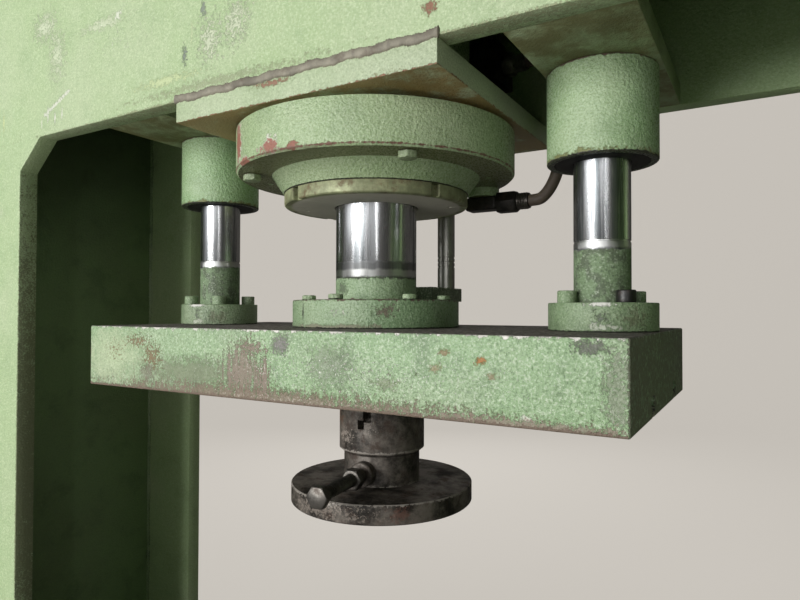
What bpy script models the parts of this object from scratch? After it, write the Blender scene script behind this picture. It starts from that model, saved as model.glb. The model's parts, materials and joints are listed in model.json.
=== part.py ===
"""Portal-frame hydraulic press with a guided platen, in metres, +Z up, origin on the floor.

X runs along the press's width, Y from the front to the back. The ram stands on X = 0, Y = 0.
"""

import math

import bmesh
import bpy
from mathutils import Matrix, Vector

# Fits
GAP = 0.0003
RUNNING_CLEARANCE = 0.0003
HOLE_CLEARANCE = 0.0005

# Frame plates and window
BARREL_CLEARANCE = 0.040
PLATE_T = 0.040
WINDOW_HALF = 0.807
WINDOW_CHAMFER_X = 0.080
WINDOW_CHAMFER_Z = 0.068
COLUMN_WIDTH = 0.392
CROWN_BOTTOM = 1.860
CROWN_HEIGHT = 0.850
TOP_PLATE_T = 0.030
WEB_T = 0.030

# Base and bed
FOOT_T = 0.040
FOOT_OVERHANG = 0.040
TABLE_TOP = 0.560
TABLE_T = 0.080
TABLE_END_CLEARANCE = 0.100
RIB_X = 0.300
RIB_T = 0.030
RIB_HEIGHT = 0.360

# Guide bridges and cylinder pad
BRIDGE_MARGIN = 0.0015
BRIDGE_OFFSET = 0.005
BRIDGE_T = 0.040
PAD_MARGIN = 0.001
PAD_T = 0.040
BEAD_HEIGHT = 0.015
BEAD_PROUD = 0.004
BEAD_OVERRUN = 0.006

# Cylinder body
SEAT_WIDTH = 0.040
SEAT_H = 0.009
FLANGE_RIM = 0.047
FLANGE_T = 0.0795
FLANGE_CHAMFER = 0.004
CONE_FLARE = 0.024
CONE_H = 0.033
BARREL_WALL = 0.045
BORE_R = 0.140
NECK_WALL = 0.061
BUSH_WALL = 0.040
NECK_LENGTH = 0.080
CAP_T = 0.050
PORT_BOSS_R = 0.033
PORT_BOSS_H = 0.018
PORT_X = 0.152
PORT_CLEARANCE = 0.040
CYLINDER_BOLT_EDGE = 0.030
CYLINDER_BOLT_ANGLES = (135.0, -135.0, -45.0)
CYLINDER_BOLT_DEPTH = 0.030
JACKING_HOLE_EDGE = 0.017
JACKING_HOLE_R = 0.005
JACKING_HOLE_DEPTH = 0.020
JACKING_HOLE_ANGLES = (22.0, -158.0)

# Gland
GLAND_H = 0.023
GLAND_LIP_T = 0.0043
GLAND_LIP_GAP = 0.003
WIPER_T = 0.0114
WIPER_WIDTH = 0.0147
NOTCH_WIDTH = 0.018
NOTCH_DEPTH = 0.010
NOTCH_START = -21.6
NOTCH_COUNT = 4
GLAND_HOLE_EDGE = 0.036
GLAND_HOLE_R = 0.0045
GLAND_HOLE_START = 20.0
GLAND_HOLE_COUNT = 2
BUSH_H = 0.060

# Ram and piston
RAM_R = 0.080
RAM_DROP = 0.420
STROKE_UP = 0.135
STROKE_DOWN = 0.365
END_CLEARANCE = 0.010
PISTON_H = 0.110
PISTON_SEAL_H = 0.012
PISTON_SEAL_DEPTH = 0.009
ROD_TOP_SHOULDER = 0.020
ROD_BOTTOM_SHOULDER = 0.025
ROD_SPIGOT_FLOOR = 0.010

# Platen and ram flange
PLATEN_WIDTH = 1.060
PLATEN_T = 0.120
PLATEN_EDGE = 0.003
SLOT_SPACING = 0.230
SLOT_NECK_W = 0.018
SLOT_HEAD_W = 0.038
SLOT_LIP_T = 0.015
SLOT_HEAD_H = 0.017
RAM_FLANGE_WIDTH = 0.084
RAM_FLANGE_H = 0.052
COLLAR_H = 0.043
RAM_BOLT_EDGE = 0.030
RAM_BOLT_COUNT = 6
RAM_BOLT_START = 30.0
RAM_BOLT_DEPTH = 0.025

# Guides
GUIDE_X = 0.439
GUIDE_ROD_R = 0.045
GUIDE_HOUSING_SHOULDER = 0.0175
GUIDE_HOUSING_H = 0.148
GUIDE_SPIGOT_WALL = 0.0117
GUIDE_SPIGOT_RISE = 0.060
GUIDE_LINER_WALL = 0.013
GUIDE_LINER_INSET = 0.002
SCRAPER_WALL = 0.0125
SCRAPER_RECESS_H = 0.012
GUIDE_ROD_SPARE = 0.030
ROD_GROOVE_Z = 0.1425
ROD_GROOVE_H = 0.003
ROD_GROOVE_DEPTH = 0.0015
ROD_FLANGE_WIDTH = 0.041
ROD_FLANGE_H = 0.045
CAP_SCREW_EDGE = 0.022
CAP_SCREW_R = 0.015
CAP_SCREW_H = 0.0195
CAP_SCREW_SOCKET_R = 0.0098
CAP_SCREW_SOCKET_DEPTH = 0.010

# Travel rod
TRAVEL_X = 0.055
TRAVEL_CLEARANCE = 0.004
TRAVEL_R = 0.019
TRAVEL_SPIGOT_R = 0.010
TRAVEL_SPARE = 0.040
TRAVEL_GROOVES_Z = 0.128
TRAVEL_GROOVE_PITCH = 0.010
TRAVEL_GROOVE_COUNT = 3
TRAVEL_GROOVE_DEPTH = 0.0015
ARM_T = 0.029
ARM_HALF_FRONT = 0.082
ARM_HALF_REAR = 0.027
ARM_REAR_MARGIN = 0.024
ARM_FRONT_CLEARANCE = 0.003

# Tool
TOOL_Y = 0.023
SLEEVE_R = 0.085
SLEEVE_H = 0.126
SLEEVE_CHAMFER_H = 0.0075
LATCH_WIDTH = 0.014
LATCH_ANGLE = -77.0
LATCH_ENTRY_H = 0.058
LATCH_POCKET_ANGLE = -85.9
LATCH_POCKET_TOP = 0.043
LATCH_POCKET_FLOOR = 0.0715
HUB_SETBACK = 0.0095
HUB_SHOULDER = 0.0155
HUB_H = 0.0575
HUB_SPIGOT_RISE = 0.090
DISC_R = 0.180
DISC_T = 0.036
DISC_EDGE = 0.002
SCREW_ANGLE = -83.5
SCREW_RISE = 0.026
BOSS_R = 0.0235
BOSS_PROUD = 0.0165
SCREW_R = 0.012
SCREW_TIP = 0.036
SCREW_HEAD_AT = 0.232
SCREW_HEAD_H = 0.016
SCREW_HEAD_AF = 0.036
LOCK_NUT_GAP = 0.018
LOCK_NUT_H = 0.020

# Screws with hex heads
FLANGE_SCREW_R = 0.010
FLANGE_SCREW_AF = 0.030
FLANGE_SCREW_HEAD_H = 0.0125
RAM_SCREW_R = 0.008
RAM_SCREW_AF = 0.024
RAM_SCREW_HEAD_H = 0.010

# Oil lines
ELBOW_LENGTH = 0.068
ELBOW_WIDTH = 0.038
ELBOW_H = 0.028
ELBOW_BACK = 0.034
HOSE_NUT_AF = 0.041
HOSE_NUT_LENGTH = 0.043
FERRULE_R = 0.0172
FERRULE_LENGTH = 0.024
HOSE_R = 0.012
HOSE_LEAD = 0.006
UPPER_FITTING_LENGTH = 0.046
UPPER_FITTING_NUT_R = 0.021
UPPER_FITTING_NUT_LENGTH = 0.022
BLOCK_CLEARANCE = 0.035
BLOCK_DEPTH = 0.090
BLOCK_WIDTH = 0.060
BLOCK_RISE = 0.070
BLOCK_H = 0.080
FITTING_RISE = 0.110
CAP_PIPE_R = 0.011
PIPE_R = 0.009
PIPE_PITCH = 0.030
PIPE_BEND_R = 0.045
PIPE_SOCKET_DEPTH = 0.020
CAP_PIPE_RISE = 0.055
COUPLING_R = 0.017
COUPLING_H = 0.035

# Sides of round shapes
COARSE_SIDES = 16
MEDIUM_SIDES = 24
FINE_SIDES = 36
EXTRA_FINE_SIDES = 48

# Radii and places that follow from the sizes above
BARREL_R = BORE_R + BARREL_WALL
SEAT_R = BARREL_R + SEAT_WIDTH
FLANGE_R = SEAT_R + FLANGE_RIM
NECK_BORE_R = RAM_R + BUSH_WALL
CONE_BOTTOM_R = NECK_BORE_R + NECK_WALL
CONE_TOP_R = CONE_BOTTOM_R + CONE_FLARE
CYLINDER_BOLT_CIRCLE_R = FLANGE_R - CYLINDER_BOLT_EDGE
JACKING_HOLE_CIRCLE_R = CONE_TOP_R + JACKING_HOLE_EDGE
GLAND_HOLE_CIRCLE_R = CONE_BOTTOM_R - GLAND_HOLE_EDGE
ROD_TOP_SPIGOT_R = RAM_R - ROD_TOP_SHOULDER
ROD_BOTTOM_SPIGOT_R = RAM_R - ROD_BOTTOM_SHOULDER
RAM_FLANGE_R = RAM_R + RAM_FLANGE_WIDTH
RAM_BOLT_CIRCLE_R = RAM_FLANGE_R - RAM_BOLT_EDGE
PLATE_INNER_Y = BARREL_R + BARREL_CLEARANCE
FRAME_DEPTH = 2 * (PLATE_INNER_Y + PLATE_T)
PLATEN_DEPTH = FRAME_DEPTH
PAD_WIDTH = 2 * (FLANGE_R + PAD_MARGIN)
PORT_Y = PLATE_INNER_Y - PORT_CLEARANCE
TRAVEL_Y = PLATE_INNER_Y - TRAVEL_R - TRAVEL_CLEARANCE
LINER_R = GUIDE_ROD_R + RUNNING_CLEARANCE + GUIDE_LINER_WALL
GUIDE_SPIGOT_R = LINER_R + GUIDE_SPIGOT_WALL
GUIDE_HOUSING_R = GUIDE_SPIGOT_R + GUIDE_HOUSING_SHOULDER
SCRAPER_RECESS_R = GUIDE_HOUSING_R - SCRAPER_WALL
BRIDGE_WIDTH = 2 * (GUIDE_HOUSING_R + BRIDGE_MARGIN)
BRIDGE_INNER_X = GUIDE_X + BRIDGE_OFFSET - BRIDGE_WIDTH / 2
ROD_FLANGE_R = GUIDE_ROD_R + ROD_FLANGE_WIDTH
CAP_SCREW_CIRCLE_R = ROD_FLANGE_R - CAP_SCREW_EDGE
HUB_R = SLEEVE_R - HUB_SETBACK
SLEEVE_BORE_R = HUB_R - HUB_SHOULDER
BOSS_REACH = HUB_R + BOSS_PROUD
LOCK_NUT_AT = BOSS_REACH + LOCK_NUT_GAP
BLOCK_Y1 = PLATE_INNER_Y - BLOCK_CLEARANCE
BLOCK_Y0 = BLOCK_Y1 - BLOCK_DEPTH

# Heights that follow from the sizes above
CROWN_TOP = CROWN_BOTTOM + CROWN_HEIGHT
COLUMN_OUTER = WINDOW_HALF + COLUMN_WIDTH
WINDOW_BOTTOM = TABLE_TOP - TABLE_T - GAP
PLATEN_TOP = CROWN_BOTTOM - RAM_DROP
PLATEN_BOTTOM = PLATEN_TOP - PLATEN_T
PAD_TOP = CROWN_BOTTOM - GAP
PAD_BOTTOM = PAD_TOP - PAD_T
SEAT_TOP = PAD_BOTTOM - GAP
FLANGE_TOP = SEAT_TOP - SEAT_H
FLANGE_BOTTOM = FLANGE_TOP - FLANGE_T
NECK_BOTTOM = FLANGE_BOTTOM - CONE_H
NECK_SHOULDER = NECK_BOTTOM + NECK_LENGTH
PISTON_BOTTOM = NECK_SHOULDER + STROKE_DOWN + END_CLEARANCE
PISTON_TOP = PISTON_BOTTOM + PISTON_H
BARREL_TOP = PISTON_TOP + STROKE_UP + END_CLEARANCE
CAP_TOP = BARREL_TOP + GAP + CAP_T
GLAND_TOP = NECK_BOTTOM - GAP
GLAND_BOTTOM = GLAND_TOP - GLAND_H
RAM_FLANGE_BOTTOM = PLATEN_TOP + GAP
RAM_FLANGE_TOP = PLATEN_TOP + RAM_FLANGE_H
COLLAR_TOP = RAM_FLANGE_TOP + COLLAR_H
ARM_BOTTOM = RAM_FLANGE_TOP + GAP
ARM_TOP = ARM_BOTTOM + ARM_T
BRIDGE_BOTTOM = CROWN_BOTTOM
BRIDGE_TOP = BRIDGE_BOTTOM + BRIDGE_T
HOUSING_TOP = BRIDGE_BOTTOM - GAP
HOUSING_BOTTOM = HOUSING_TOP - GUIDE_HOUSING_H
SPIGOT_TOP = BRIDGE_TOP + GUIDE_SPIGOT_RISE
SLEEVE_TOP = PLATEN_BOTTOM - GAP
SLEEVE_BOTTOM = SLEEVE_TOP - SLEEVE_H
HUB_TOP = SLEEVE_BOTTOM - GAP
DISC_TOP = HUB_TOP - HUB_H
DISC_BOTTOM = DISC_TOP - DISC_T
SCREW_Z = DISC_TOP + SCREW_RISE
BLOCK_BOTTOM = PAD_TOP + BLOCK_RISE
BLOCK_TOP = BLOCK_BOTTOM + BLOCK_H
BLOCK_X0 = math.sqrt((BARREL_R + GAP) ** 2 - BLOCK_Y0**2)
BLOCK_X1 = BLOCK_X0 + BLOCK_WIDTH
BLOCK_X = (BLOCK_X0 + BLOCK_X1) / 2
BLOCK_Y = (BLOCK_Y0 + BLOCK_Y1) / 2
FITTING_Z = PAD_TOP + FITTING_RISE
ELBOW_TOP = FLANGE_BOTTOM - PORT_BOSS_H - GAP
ELBOW_Z = ELBOW_TOP - ELBOW_H / 2
ELBOW_X1 = PORT_X - ELBOW_BACK + ELBOW_LENGTH
NUT_X0 = ELBOW_X1 + GAP
FERRULE_X0 = NUT_X0 + HOSE_NUT_LENGTH + GAP
HOSE_X0 = FERRULE_X0 + FERRULE_LENGTH + GAP
FITTING_X0 = BLOCK_X1 + GAP
HOSE_X1 = FITTING_X0 + UPPER_FITTING_LENGTH + GAP
HOSE_RISE_X = (PAD_WIDTH / 2 + BRIDGE_INNER_X) / 2

# The hose between its leads, as shares of its way out, back and up
HOSE_SHARES = (
    (0.434, 0.000, 0.015),
    (0.767, 0.000, 0.101),
    (0.983, 0.000, 0.234),
    (1.033, 0.025, 0.448),
    (1.042, 0.125, 0.706),
    (0.950, 0.500, 0.883),
    (0.617, 0.875, 0.985),
)


class Finish:
    """Colour, roughness and metallic value of one material."""

    def __init__(self, name, colour, roughness, metallic=0.0):
        self.name = name
        self.colour = colour
        self.roughness = roughness
        self.metallic = metallic


GREEN_PAINT = Finish("green_paint", (0.20, 0.33, 0.17), 0.45)
DARK_GREEN = Finish("dark_green_paint", (0.05, 0.10, 0.06), 0.55)
CHROME = Finish("hard_chrome", (0.75, 0.76, 0.78), 0.12, 1.0)
BRIGHT_STEEL = Finish("ground_steel", (0.55, 0.55, 0.56), 0.28, 1.0)
DULL_STEEL = Finish("turned_steel", (0.26, 0.25, 0.25), 0.45, 0.9)
BLACK_STEEL = Finish("oiled_black_steel", (0.045, 0.04, 0.038), 0.42, 0.6)
WELD = Finish("bare_weld", (0.20, 0.16, 0.17), 0.6, 0.5)
BRONZE = Finish("bearing_bronze", (0.45, 0.28, 0.11), 0.35, 0.9)
RUBBER = Finish("black_rubber", (0.02, 0.02, 0.02), 0.7)


def new_object(name, mesh, finish):
    """Add an object with its own material and return it."""
    obj = bpy.data.objects.new(name, mesh)
    bpy.context.scene.collection.objects.link(obj)
    if finish is not None:
        material = bpy.data.materials.new(f"{name}_{finish.name}")
        material.use_nodes = True
        shader = material.node_tree.nodes["Principled BSDF"]
        shader.inputs["Base Color"].default_value = (*finish.colour, 1.0)
        shader.inputs["Roughness"].default_value = finish.roughness
        shader.inputs["Metallic"].default_value = finish.metallic
        mesh.materials.append(material)
    return obj


def mesh_from(name, build):
    """Return a mesh filled by build(bmesh)."""
    mesh = bpy.data.meshes.new(name)
    shape = bmesh.new()
    build(shape)
    bmesh.ops.recalc_face_normals(shape, faces=shape.faces)
    shape.to_mesh(mesh)
    shape.free()
    return mesh


def block(name, finish, x, y, z):
    """Rectangular block between the pairs x, y and z."""

    def build(shape):
        size = Vector((x[1] - x[0], y[1] - y[0], z[1] - z[0]))
        middle = Vector((x[0] + x[1], y[0] + y[1], z[0] + z[1])) / 2
        matrix = Matrix.Translation(middle) @ Matrix.Diagonal((*size, 1.0))
        bmesh.ops.create_cube(shape, size=1.0, matrix=matrix)

    return new_object(name, mesh_from(name, build), finish)


def plate(name, finish, outline, low, high):
    """Flat plate: an outline of (x, y) points, extruded from low to high along Z."""

    def build(shape):
        corners = [shape.verts.new((x, y, low)) for x, y in outline]
        face = shape.faces.new(corners)
        lifted = bmesh.ops.extrude_face_region(shape, geom=[face])["geom"]
        tops = [item for item in lifted if isinstance(item, bmesh.types.BMVert)]
        bmesh.ops.translate(shape, verts=tops, vec=(0.0, 0.0, high - low))

    return new_object(name, mesh_from(name, build), finish)


def prism(name, finish, radius, low, high, sides):
    """Round or hexagonal bar on the Z axis; radius reaches its corners."""

    def build(shape):
        matrix = Matrix.Translation((0.0, 0.0, (low + high) / 2))
        bmesh.ops.create_cone(
            shape,
            cap_ends=True,
            segments=sides,
            radius1=radius,
            radius2=radius,
            depth=high - low,
            matrix=matrix,
        )

    return new_object(name, mesh_from(name, build), finish)


def smooth(obj):
    """Shade round faces smooth and keep edges over 35 degrees sharp."""
    obj.data.shade_smooth()
    obj.data.set_sharp_from_angle(angle=math.radians(35))


def turned(name, finish, outline, steps, ring=False):
    """Solid turned about Z from (radius, z) points that run down the outside.

    A ring's outline closes on itself; a solid one starts and ends on the axis.
    """
    mesh = bpy.data.meshes.new(name)
    count = len(outline)
    edges = [(i, i + 1) for i in range(count - 1)]
    if ring:
        edges.append((count - 1, 0))
    mesh.from_pydata([(r, 0.0, z) for r, z in outline], edges, [])
    obj = new_object(name, mesh, finish)
    screw = obj.modifiers.new("turn", "SCREW")
    screw.axis = "Z"
    screw.angle = 2 * math.pi
    screw.steps = steps
    screw.render_steps = steps
    screw.use_merge_vertices = True
    screw.merge_threshold = 0.00005
    screw.use_smooth_shade = False
    return obj


def guide(obj):
    """Mark a shape as a construction guide that is not a piece."""
    obj.hide_render = True
    obj.display_type = "WIRE"
    return obj


def boolean(target, tool, operation):
    """Cut tool from target, or union it to target."""
    guide(tool)
    change = target.modifiers.new(tool.name, "BOOLEAN")
    change.operation = operation
    change.solver = "EXACT"
    change.object = tool


def cut(target, tool):
    """Remove tool's shape from target."""
    boolean(target, tool, "DIFFERENCE")


def fuse(target, tool):
    """Join tool's shape to target as one body."""
    boolean(target, tool, "UNION")


def place(obj, x=0.0, y=0.0, z=0.0):
    """Move an object to x, y, z and return it."""
    obj.location = (x, y, z)
    return obj


def at_angles(radius, angles):
    """Return the (x, y) points of a circle at the given angles in degrees."""
    turns = [math.radians(angle) for angle in angles]
    return [(radius * math.cos(turn), radius * math.sin(turn)) for turn in turns]


def around(radius, count, start):
    """Return (x, y) points evenly spaced on a circle, from start degrees."""
    return at_angles(radius, [start + number * 360.0 / count for number in range(count)])


def along_x(obj, x, y, z):
    """Lay a shape made on the Z axis along +X at x, y, z."""
    obj.rotation_euler = (0.0, math.pi / 2, 0.0)
    return place(obj, x, y, z)


def hex_screw(name, finish, shank_r, head_af, head_h, shank_length, head_up):
    """Hex screw on the Z axis, its head's seat at z = 0."""
    sign = 1.0 if head_up else -1.0
    head_low, head_high = sorted((0.0, sign * head_h))
    shank_low, shank_high = sorted((sign * head_h / 2, -sign * shank_length))
    screw = prism(name, finish, shank_r, shank_low, shank_high, COARSE_SIDES)
    head = prism(f"{name}_head", None, head_af / math.sqrt(3), head_low, head_high, 6)
    fuse(screw, head)
    head.parent = screw
    return screw


def frame_plate(name, front_y):
    """One upright frame plate with the window cut out of it."""
    low = FOOT_T + GAP
    body = block(
        name,
        GREEN_PAINT,
        (-COLUMN_OUTER, COLUMN_OUTER),
        (front_y, front_y + PLATE_T),
        (low, CROWN_TOP),
    )
    half = WINDOW_HALF
    inner = half - WINDOW_CHAMFER_X
    top = CROWN_BOTTOM
    bottom = WINDOW_BOTTOM
    outline = [
        (-inner, bottom),
        (inner, bottom),
        (half, bottom + WINDOW_CHAMFER_Z),
        (half, top - WINDOW_CHAMFER_Z),
        (inner, top),
        (-inner, top),
        (-half, top - WINDOW_CHAMFER_Z),
        (-half, bottom + WINDOW_CHAMFER_Z),
    ]
    window = plate(f"{name}_window", None, outline, -FRAME_DEPTH, FRAME_DEPTH)
    window.rotation_euler = (math.pi / 2, 0.0, 0.0)
    cut(body, window)


def frame():
    """Both frame plates, the column webs, the crown's top plate and the feet."""
    frame_plate("front_plate", -FRAME_DEPTH / 2)
    frame_plate("rear_plate", PLATE_INNER_Y)
    inner_y = PLATE_INNER_Y - GAP
    web_in = WINDOW_HALF + (COLUMN_WIDTH - WEB_T) / 2
    foot_in = WINDOW_HALF - FOOT_OVERHANG
    foot_out = COLUMN_OUTER + FOOT_OVERHANG
    foot_y = FRAME_DEPTH / 2 + FOOT_OVERHANG
    for side, sign in (("left", -1.0), ("right", 1.0)):
        web_x = sorted((sign * web_in, sign * (web_in + WEB_T)))
        block(
            f"column_web_{side}",
            GREEN_PAINT,
            web_x,
            (-inner_y, inner_y),
            (FOOT_T + GAP, CROWN_TOP),
        )
        foot_x = sorted((sign * foot_in, sign * foot_out))
        block(f"foot_{side}", DARK_GREEN, foot_x, (-foot_y, foot_y), (0.0, FOOT_T))
    top = block(
        "crown_top_plate",
        GREEN_PAINT,
        (-COLUMN_OUTER, COLUMN_OUTER),
        (-FRAME_DEPTH / 2, FRAME_DEPTH / 2),
        (CROWN_TOP + GAP, CROWN_TOP + GAP + TOP_PLATE_T),
    )
    for number, y in enumerate(line_rows()):
        hole = prism(
            f"line_hole_{number}", None, PIPE_R + HOLE_CLEARANCE, 0.0, 2 * TOP_PLATE_T, COARSE_SIDES
        )
        place(hole, BLOCK_X, y, CROWN_TOP - TOP_PLATE_T / 2)
        cut(top, hole)


def bed():
    """Table plate on the window's lower edges, and the ribs that carry it."""
    half = WINDOW_HALF - TABLE_END_CLEARANCE
    depth = FRAME_DEPTH / 2
    low = TABLE_TOP - TABLE_T
    block("bed_table", DULL_STEEL, (-half, half), (-depth, depth), (low, TABLE_TOP))
    inner_y = PLATE_INNER_Y - GAP
    for side, sign in (("left", -1.0), ("right", 1.0)):
        rib_x = (sign * RIB_X - RIB_T / 2, sign * RIB_X + RIB_T / 2)
        block(
            f"bed_rib_{side}",
            GREEN_PAINT,
            rib_x,
            (-inner_y, inner_y),
            (low - GAP - RIB_HEIGHT, low - GAP),
        )


def guide_bridges():
    """Plates between the frame plates, flush with the crown's underside."""
    inner_y = PLATE_INNER_Y - GAP
    for side, sign in (("left", -1.0), ("right", 1.0)):
        middle = sign * (GUIDE_X + BRIDGE_OFFSET)
        bridge = block(
            f"guide_bridge_{side}",
            GREEN_PAINT,
            (middle - BRIDGE_WIDTH / 2, middle + BRIDGE_WIDTH / 2),
            (-inner_y, inner_y),
            (BRIDGE_BOTTOM, BRIDGE_TOP),
        )
        hole = prism(
            f"bridge_hole_{side}", None, GUIDE_SPIGOT_R + GAP, -BRIDGE_T, 2 * BRIDGE_T, FINE_SIDES
        )
        place(hole, sign * GUIDE_X, 0.0, BRIDGE_BOTTOM)
        cut(bridge, hole)


def cylinder_pad():
    """Square pad under both frame plates, with its bores, and the weld bead in front."""
    half = PAD_WIDTH / 2
    depth = FRAME_DEPTH / 2
    pad = block("cylinder_pad", GREEN_PAINT, (-half, half), (-depth, depth), (PAD_BOTTOM, PAD_TOP))
    bore = prism("pad_bore", None, BARREL_R + HOLE_CLEARANCE, -PAD_T, 2 * PAD_T, EXTRA_FINE_SIDES)
    cut(pad, place(bore, z=PAD_BOTTOM))
    rod_hole = prism("pad_rod_hole", None, TRAVEL_R + HOLE_CLEARANCE, -PAD_T, 2 * PAD_T, MEDIUM_SIDES)
    cut(pad, place(rod_hole, TRAVEL_X, TRAVEL_Y, PAD_BOTTOM))
    circle = at_angles(CYLINDER_BOLT_CIRCLE_R, CYLINDER_BOLT_ANGLES)
    for number, (x, y) in enumerate(circle, 1):
        hole = prism(
            f"pad_screw_hole_{number}",
            None,
            FLANGE_SCREW_R + GAP,
            -PAD_T,
            CYLINDER_BOLT_DEPTH + HOLE_CLEARANCE,
            COARSE_SIDES,
        )
        cut(pad, place(hole, x, y, PAD_BOTTOM))
    bead_low = CROWN_BOTTOM - BEAD_HEIGHT / 4
    front = -depth - GAP
    section = [
        (front, bead_low),
        (front - BEAD_PROUD, bead_low + BEAD_HEIGHT / 3),
        (front - BEAD_PROUD, bead_low + BEAD_HEIGHT * 2 / 3),
        (front, bead_low + BEAD_HEIGHT),
    ]
    bead = plate(
        "pad_weld_bead", WELD, section, -half - BEAD_OVERRUN, half + BEAD_OVERRUN
    )
    bead.matrix_world = Matrix(
        ((0, 0, 1, 0), (1, 0, 0, 0), (0, 1, 0, 0), (0, 0, 0, 1))
    )


def cylinder_body():
    """Flange, cone and barrel in one casting, bored for the piston and the neck."""
    outline = [
        (BARREL_R, BARREL_TOP),
        (BARREL_R, SEAT_TOP),
        (SEAT_R, SEAT_TOP),
        (SEAT_R, FLANGE_TOP),
        (FLANGE_R, FLANGE_TOP),
        (FLANGE_R, FLANGE_BOTTOM + FLANGE_CHAMFER),
        (FLANGE_R - FLANGE_CHAMFER, FLANGE_BOTTOM),
        (CONE_TOP_R, FLANGE_BOTTOM),
        (CONE_BOTTOM_R, NECK_BOTTOM),
        (NECK_BORE_R, NECK_BOTTOM),
        (NECK_BORE_R, NECK_SHOULDER),
        (BORE_R, NECK_SHOULDER),
        (BORE_R, BARREL_TOP),
    ]
    body = turned("cylinder_body", GREEN_PAINT, outline, EXTRA_FINE_SIDES, ring=True)
    boss = prism("port_boss", None, PORT_BOSS_R, -PORT_BOSS_H, FLANGE_T / 2, MEDIUM_SIDES)
    fuse(body, place(boss, PORT_X, PORT_Y, FLANGE_BOTTOM))
    rod_hole = prism(
        "flange_rod_hole", None, TRAVEL_R + HOLE_CLEARANCE, -CONE_H, 2 * FLANGE_T, MEDIUM_SIDES
    )
    cut(body, place(rod_hole, TRAVEL_X, TRAVEL_Y, FLANGE_BOTTOM))
    circle = at_angles(CYLINDER_BOLT_CIRCLE_R, CYLINDER_BOLT_ANGLES)
    for number, (x, y) in enumerate(circle, 1):
        hole = prism(
            f"flange_screw_hole_{number}",
            None,
            FLANGE_SCREW_R + HOLE_CLEARANCE,
            -FLANGE_T,
            2 * FLANGE_T,
            COARSE_SIDES,
        )
        cut(body, place(hole, x, y, FLANGE_BOTTOM))
    circle = at_angles(JACKING_HOLE_CIRCLE_R, JACKING_HOLE_ANGLES)
    for number, (x, y) in enumerate(circle, 1):
        hole = prism(
            f"jacking_hole_{number}", None, JACKING_HOLE_R, -CONE_H, JACKING_HOLE_DEPTH, 12
        )
        cut(body, place(hole, x, y, FLANGE_BOTTOM))


def cylinder_screws():
    """Hex screws through the flange's underside into the pad."""
    length = FLANGE_T + SEAT_H + GAP + CYLINDER_BOLT_DEPTH
    circle = at_angles(CYLINDER_BOLT_CIRCLE_R, CYLINDER_BOLT_ANGLES)
    for number, (x, y) in enumerate(circle, 1):
        screw = hex_screw(
            f"cylinder_bolt_{number}",
            DULL_STEEL,
            FLANGE_SCREW_R,
            FLANGE_SCREW_AF,
            FLANGE_SCREW_HEAD_H,
            length,
            head_up=False,
        )
        place(screw, x, y, FLANGE_BOTTOM - GAP)


def cylinder_cap():
    """Plate that closes the barrel, with the socket of the cap pipe."""
    cap = prism("cylinder_cap", GREEN_PAINT, BARREL_R, BARREL_TOP + GAP, CAP_TOP, EXTRA_FINE_SIDES)
    socket_r = CAP_PIPE_R + HOLE_CLEARANCE
    socket = prism("cap_socket", None, socket_r, -PIPE_SOCKET_DEPTH, CAP_T, COARSE_SIDES)
    cut(cap, place(socket, z=CAP_TOP))


def gland():
    """Notched ring under the neck, with the wiper, the bush and the rod seal it holds."""
    wiper_r = RAM_R + RUNNING_CLEARANCE + WIPER_WIDTH
    lip_r = RAM_R + GLAND_LIP_GAP
    groove_low = GLAND_BOTTOM + GLAND_LIP_T
    groove_high = groove_low + WIPER_T + 2 * GAP
    outline = [
        (CONE_BOTTOM_R, GLAND_TOP),
        (CONE_BOTTOM_R, GLAND_BOTTOM),
        (lip_r, GLAND_BOTTOM),
        (lip_r, groove_low),
        (wiper_r + GAP, groove_low),
        (wiper_r + GAP, groove_high),
        (lip_r, groove_high),
        (lip_r, GLAND_TOP),
    ]
    ring = turned("gland_ring", DULL_STEEL, outline, EXTRA_FINE_SIDES, ring=True)
    for number in range(NOTCH_COUNT):
        angle = math.radians(NOTCH_START + number * 360.0 / NOTCH_COUNT)
        notch = block(
            f"gland_notch_{number}",
            None,
            (CONE_BOTTOM_R - NOTCH_DEPTH, CONE_BOTTOM_R + NOTCH_DEPTH),
            (-NOTCH_WIDTH / 2, NOTCH_WIDTH / 2),
            (-GLAND_H, 2 * GLAND_H),
        )
        notch.rotation_euler = (0.0, 0.0, angle)
        cut(ring, place(notch, z=GLAND_BOTTOM))
    circle = around(GLAND_HOLE_CIRCLE_R, GLAND_HOLE_COUNT, GLAND_HOLE_START)
    for number, (x, y) in enumerate(circle):
        hole = prism(f"gland_hole_{number}", None, GLAND_HOLE_R, -GLAND_H, GLAND_H / 2, 12)
        cut(ring, place(hole, x, y, GLAND_BOTTOM))
    bore = RAM_R + RUNNING_CLEARANCE
    sleeve("wiper_ring", RUBBER, wiper_r, bore, groove_low + GAP, WIPER_T, EXTRA_FINE_SIDES)
    outer = NECK_BORE_R - GAP
    sleeve("gland_bush", BRONZE, outer, bore, NECK_BOTTOM, BUSH_H, EXTRA_FINE_SIDES)
    seal_low = NECK_BOTTOM + BUSH_H + GAP
    seal_h = NECK_SHOULDER - GAP - seal_low
    sleeve("rod_seal", RUBBER, outer, bore, seal_low, seal_h, EXTRA_FINE_SIDES)


def sleeve(name, finish, outer, bore, low, height, steps=FINE_SIDES):
    """Plain ring of one bore."""
    outline = [(outer, low + height), (outer, low), (bore, low), (bore, low + height)]
    return turned(name, finish, outline, steps, ring=True)


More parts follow.
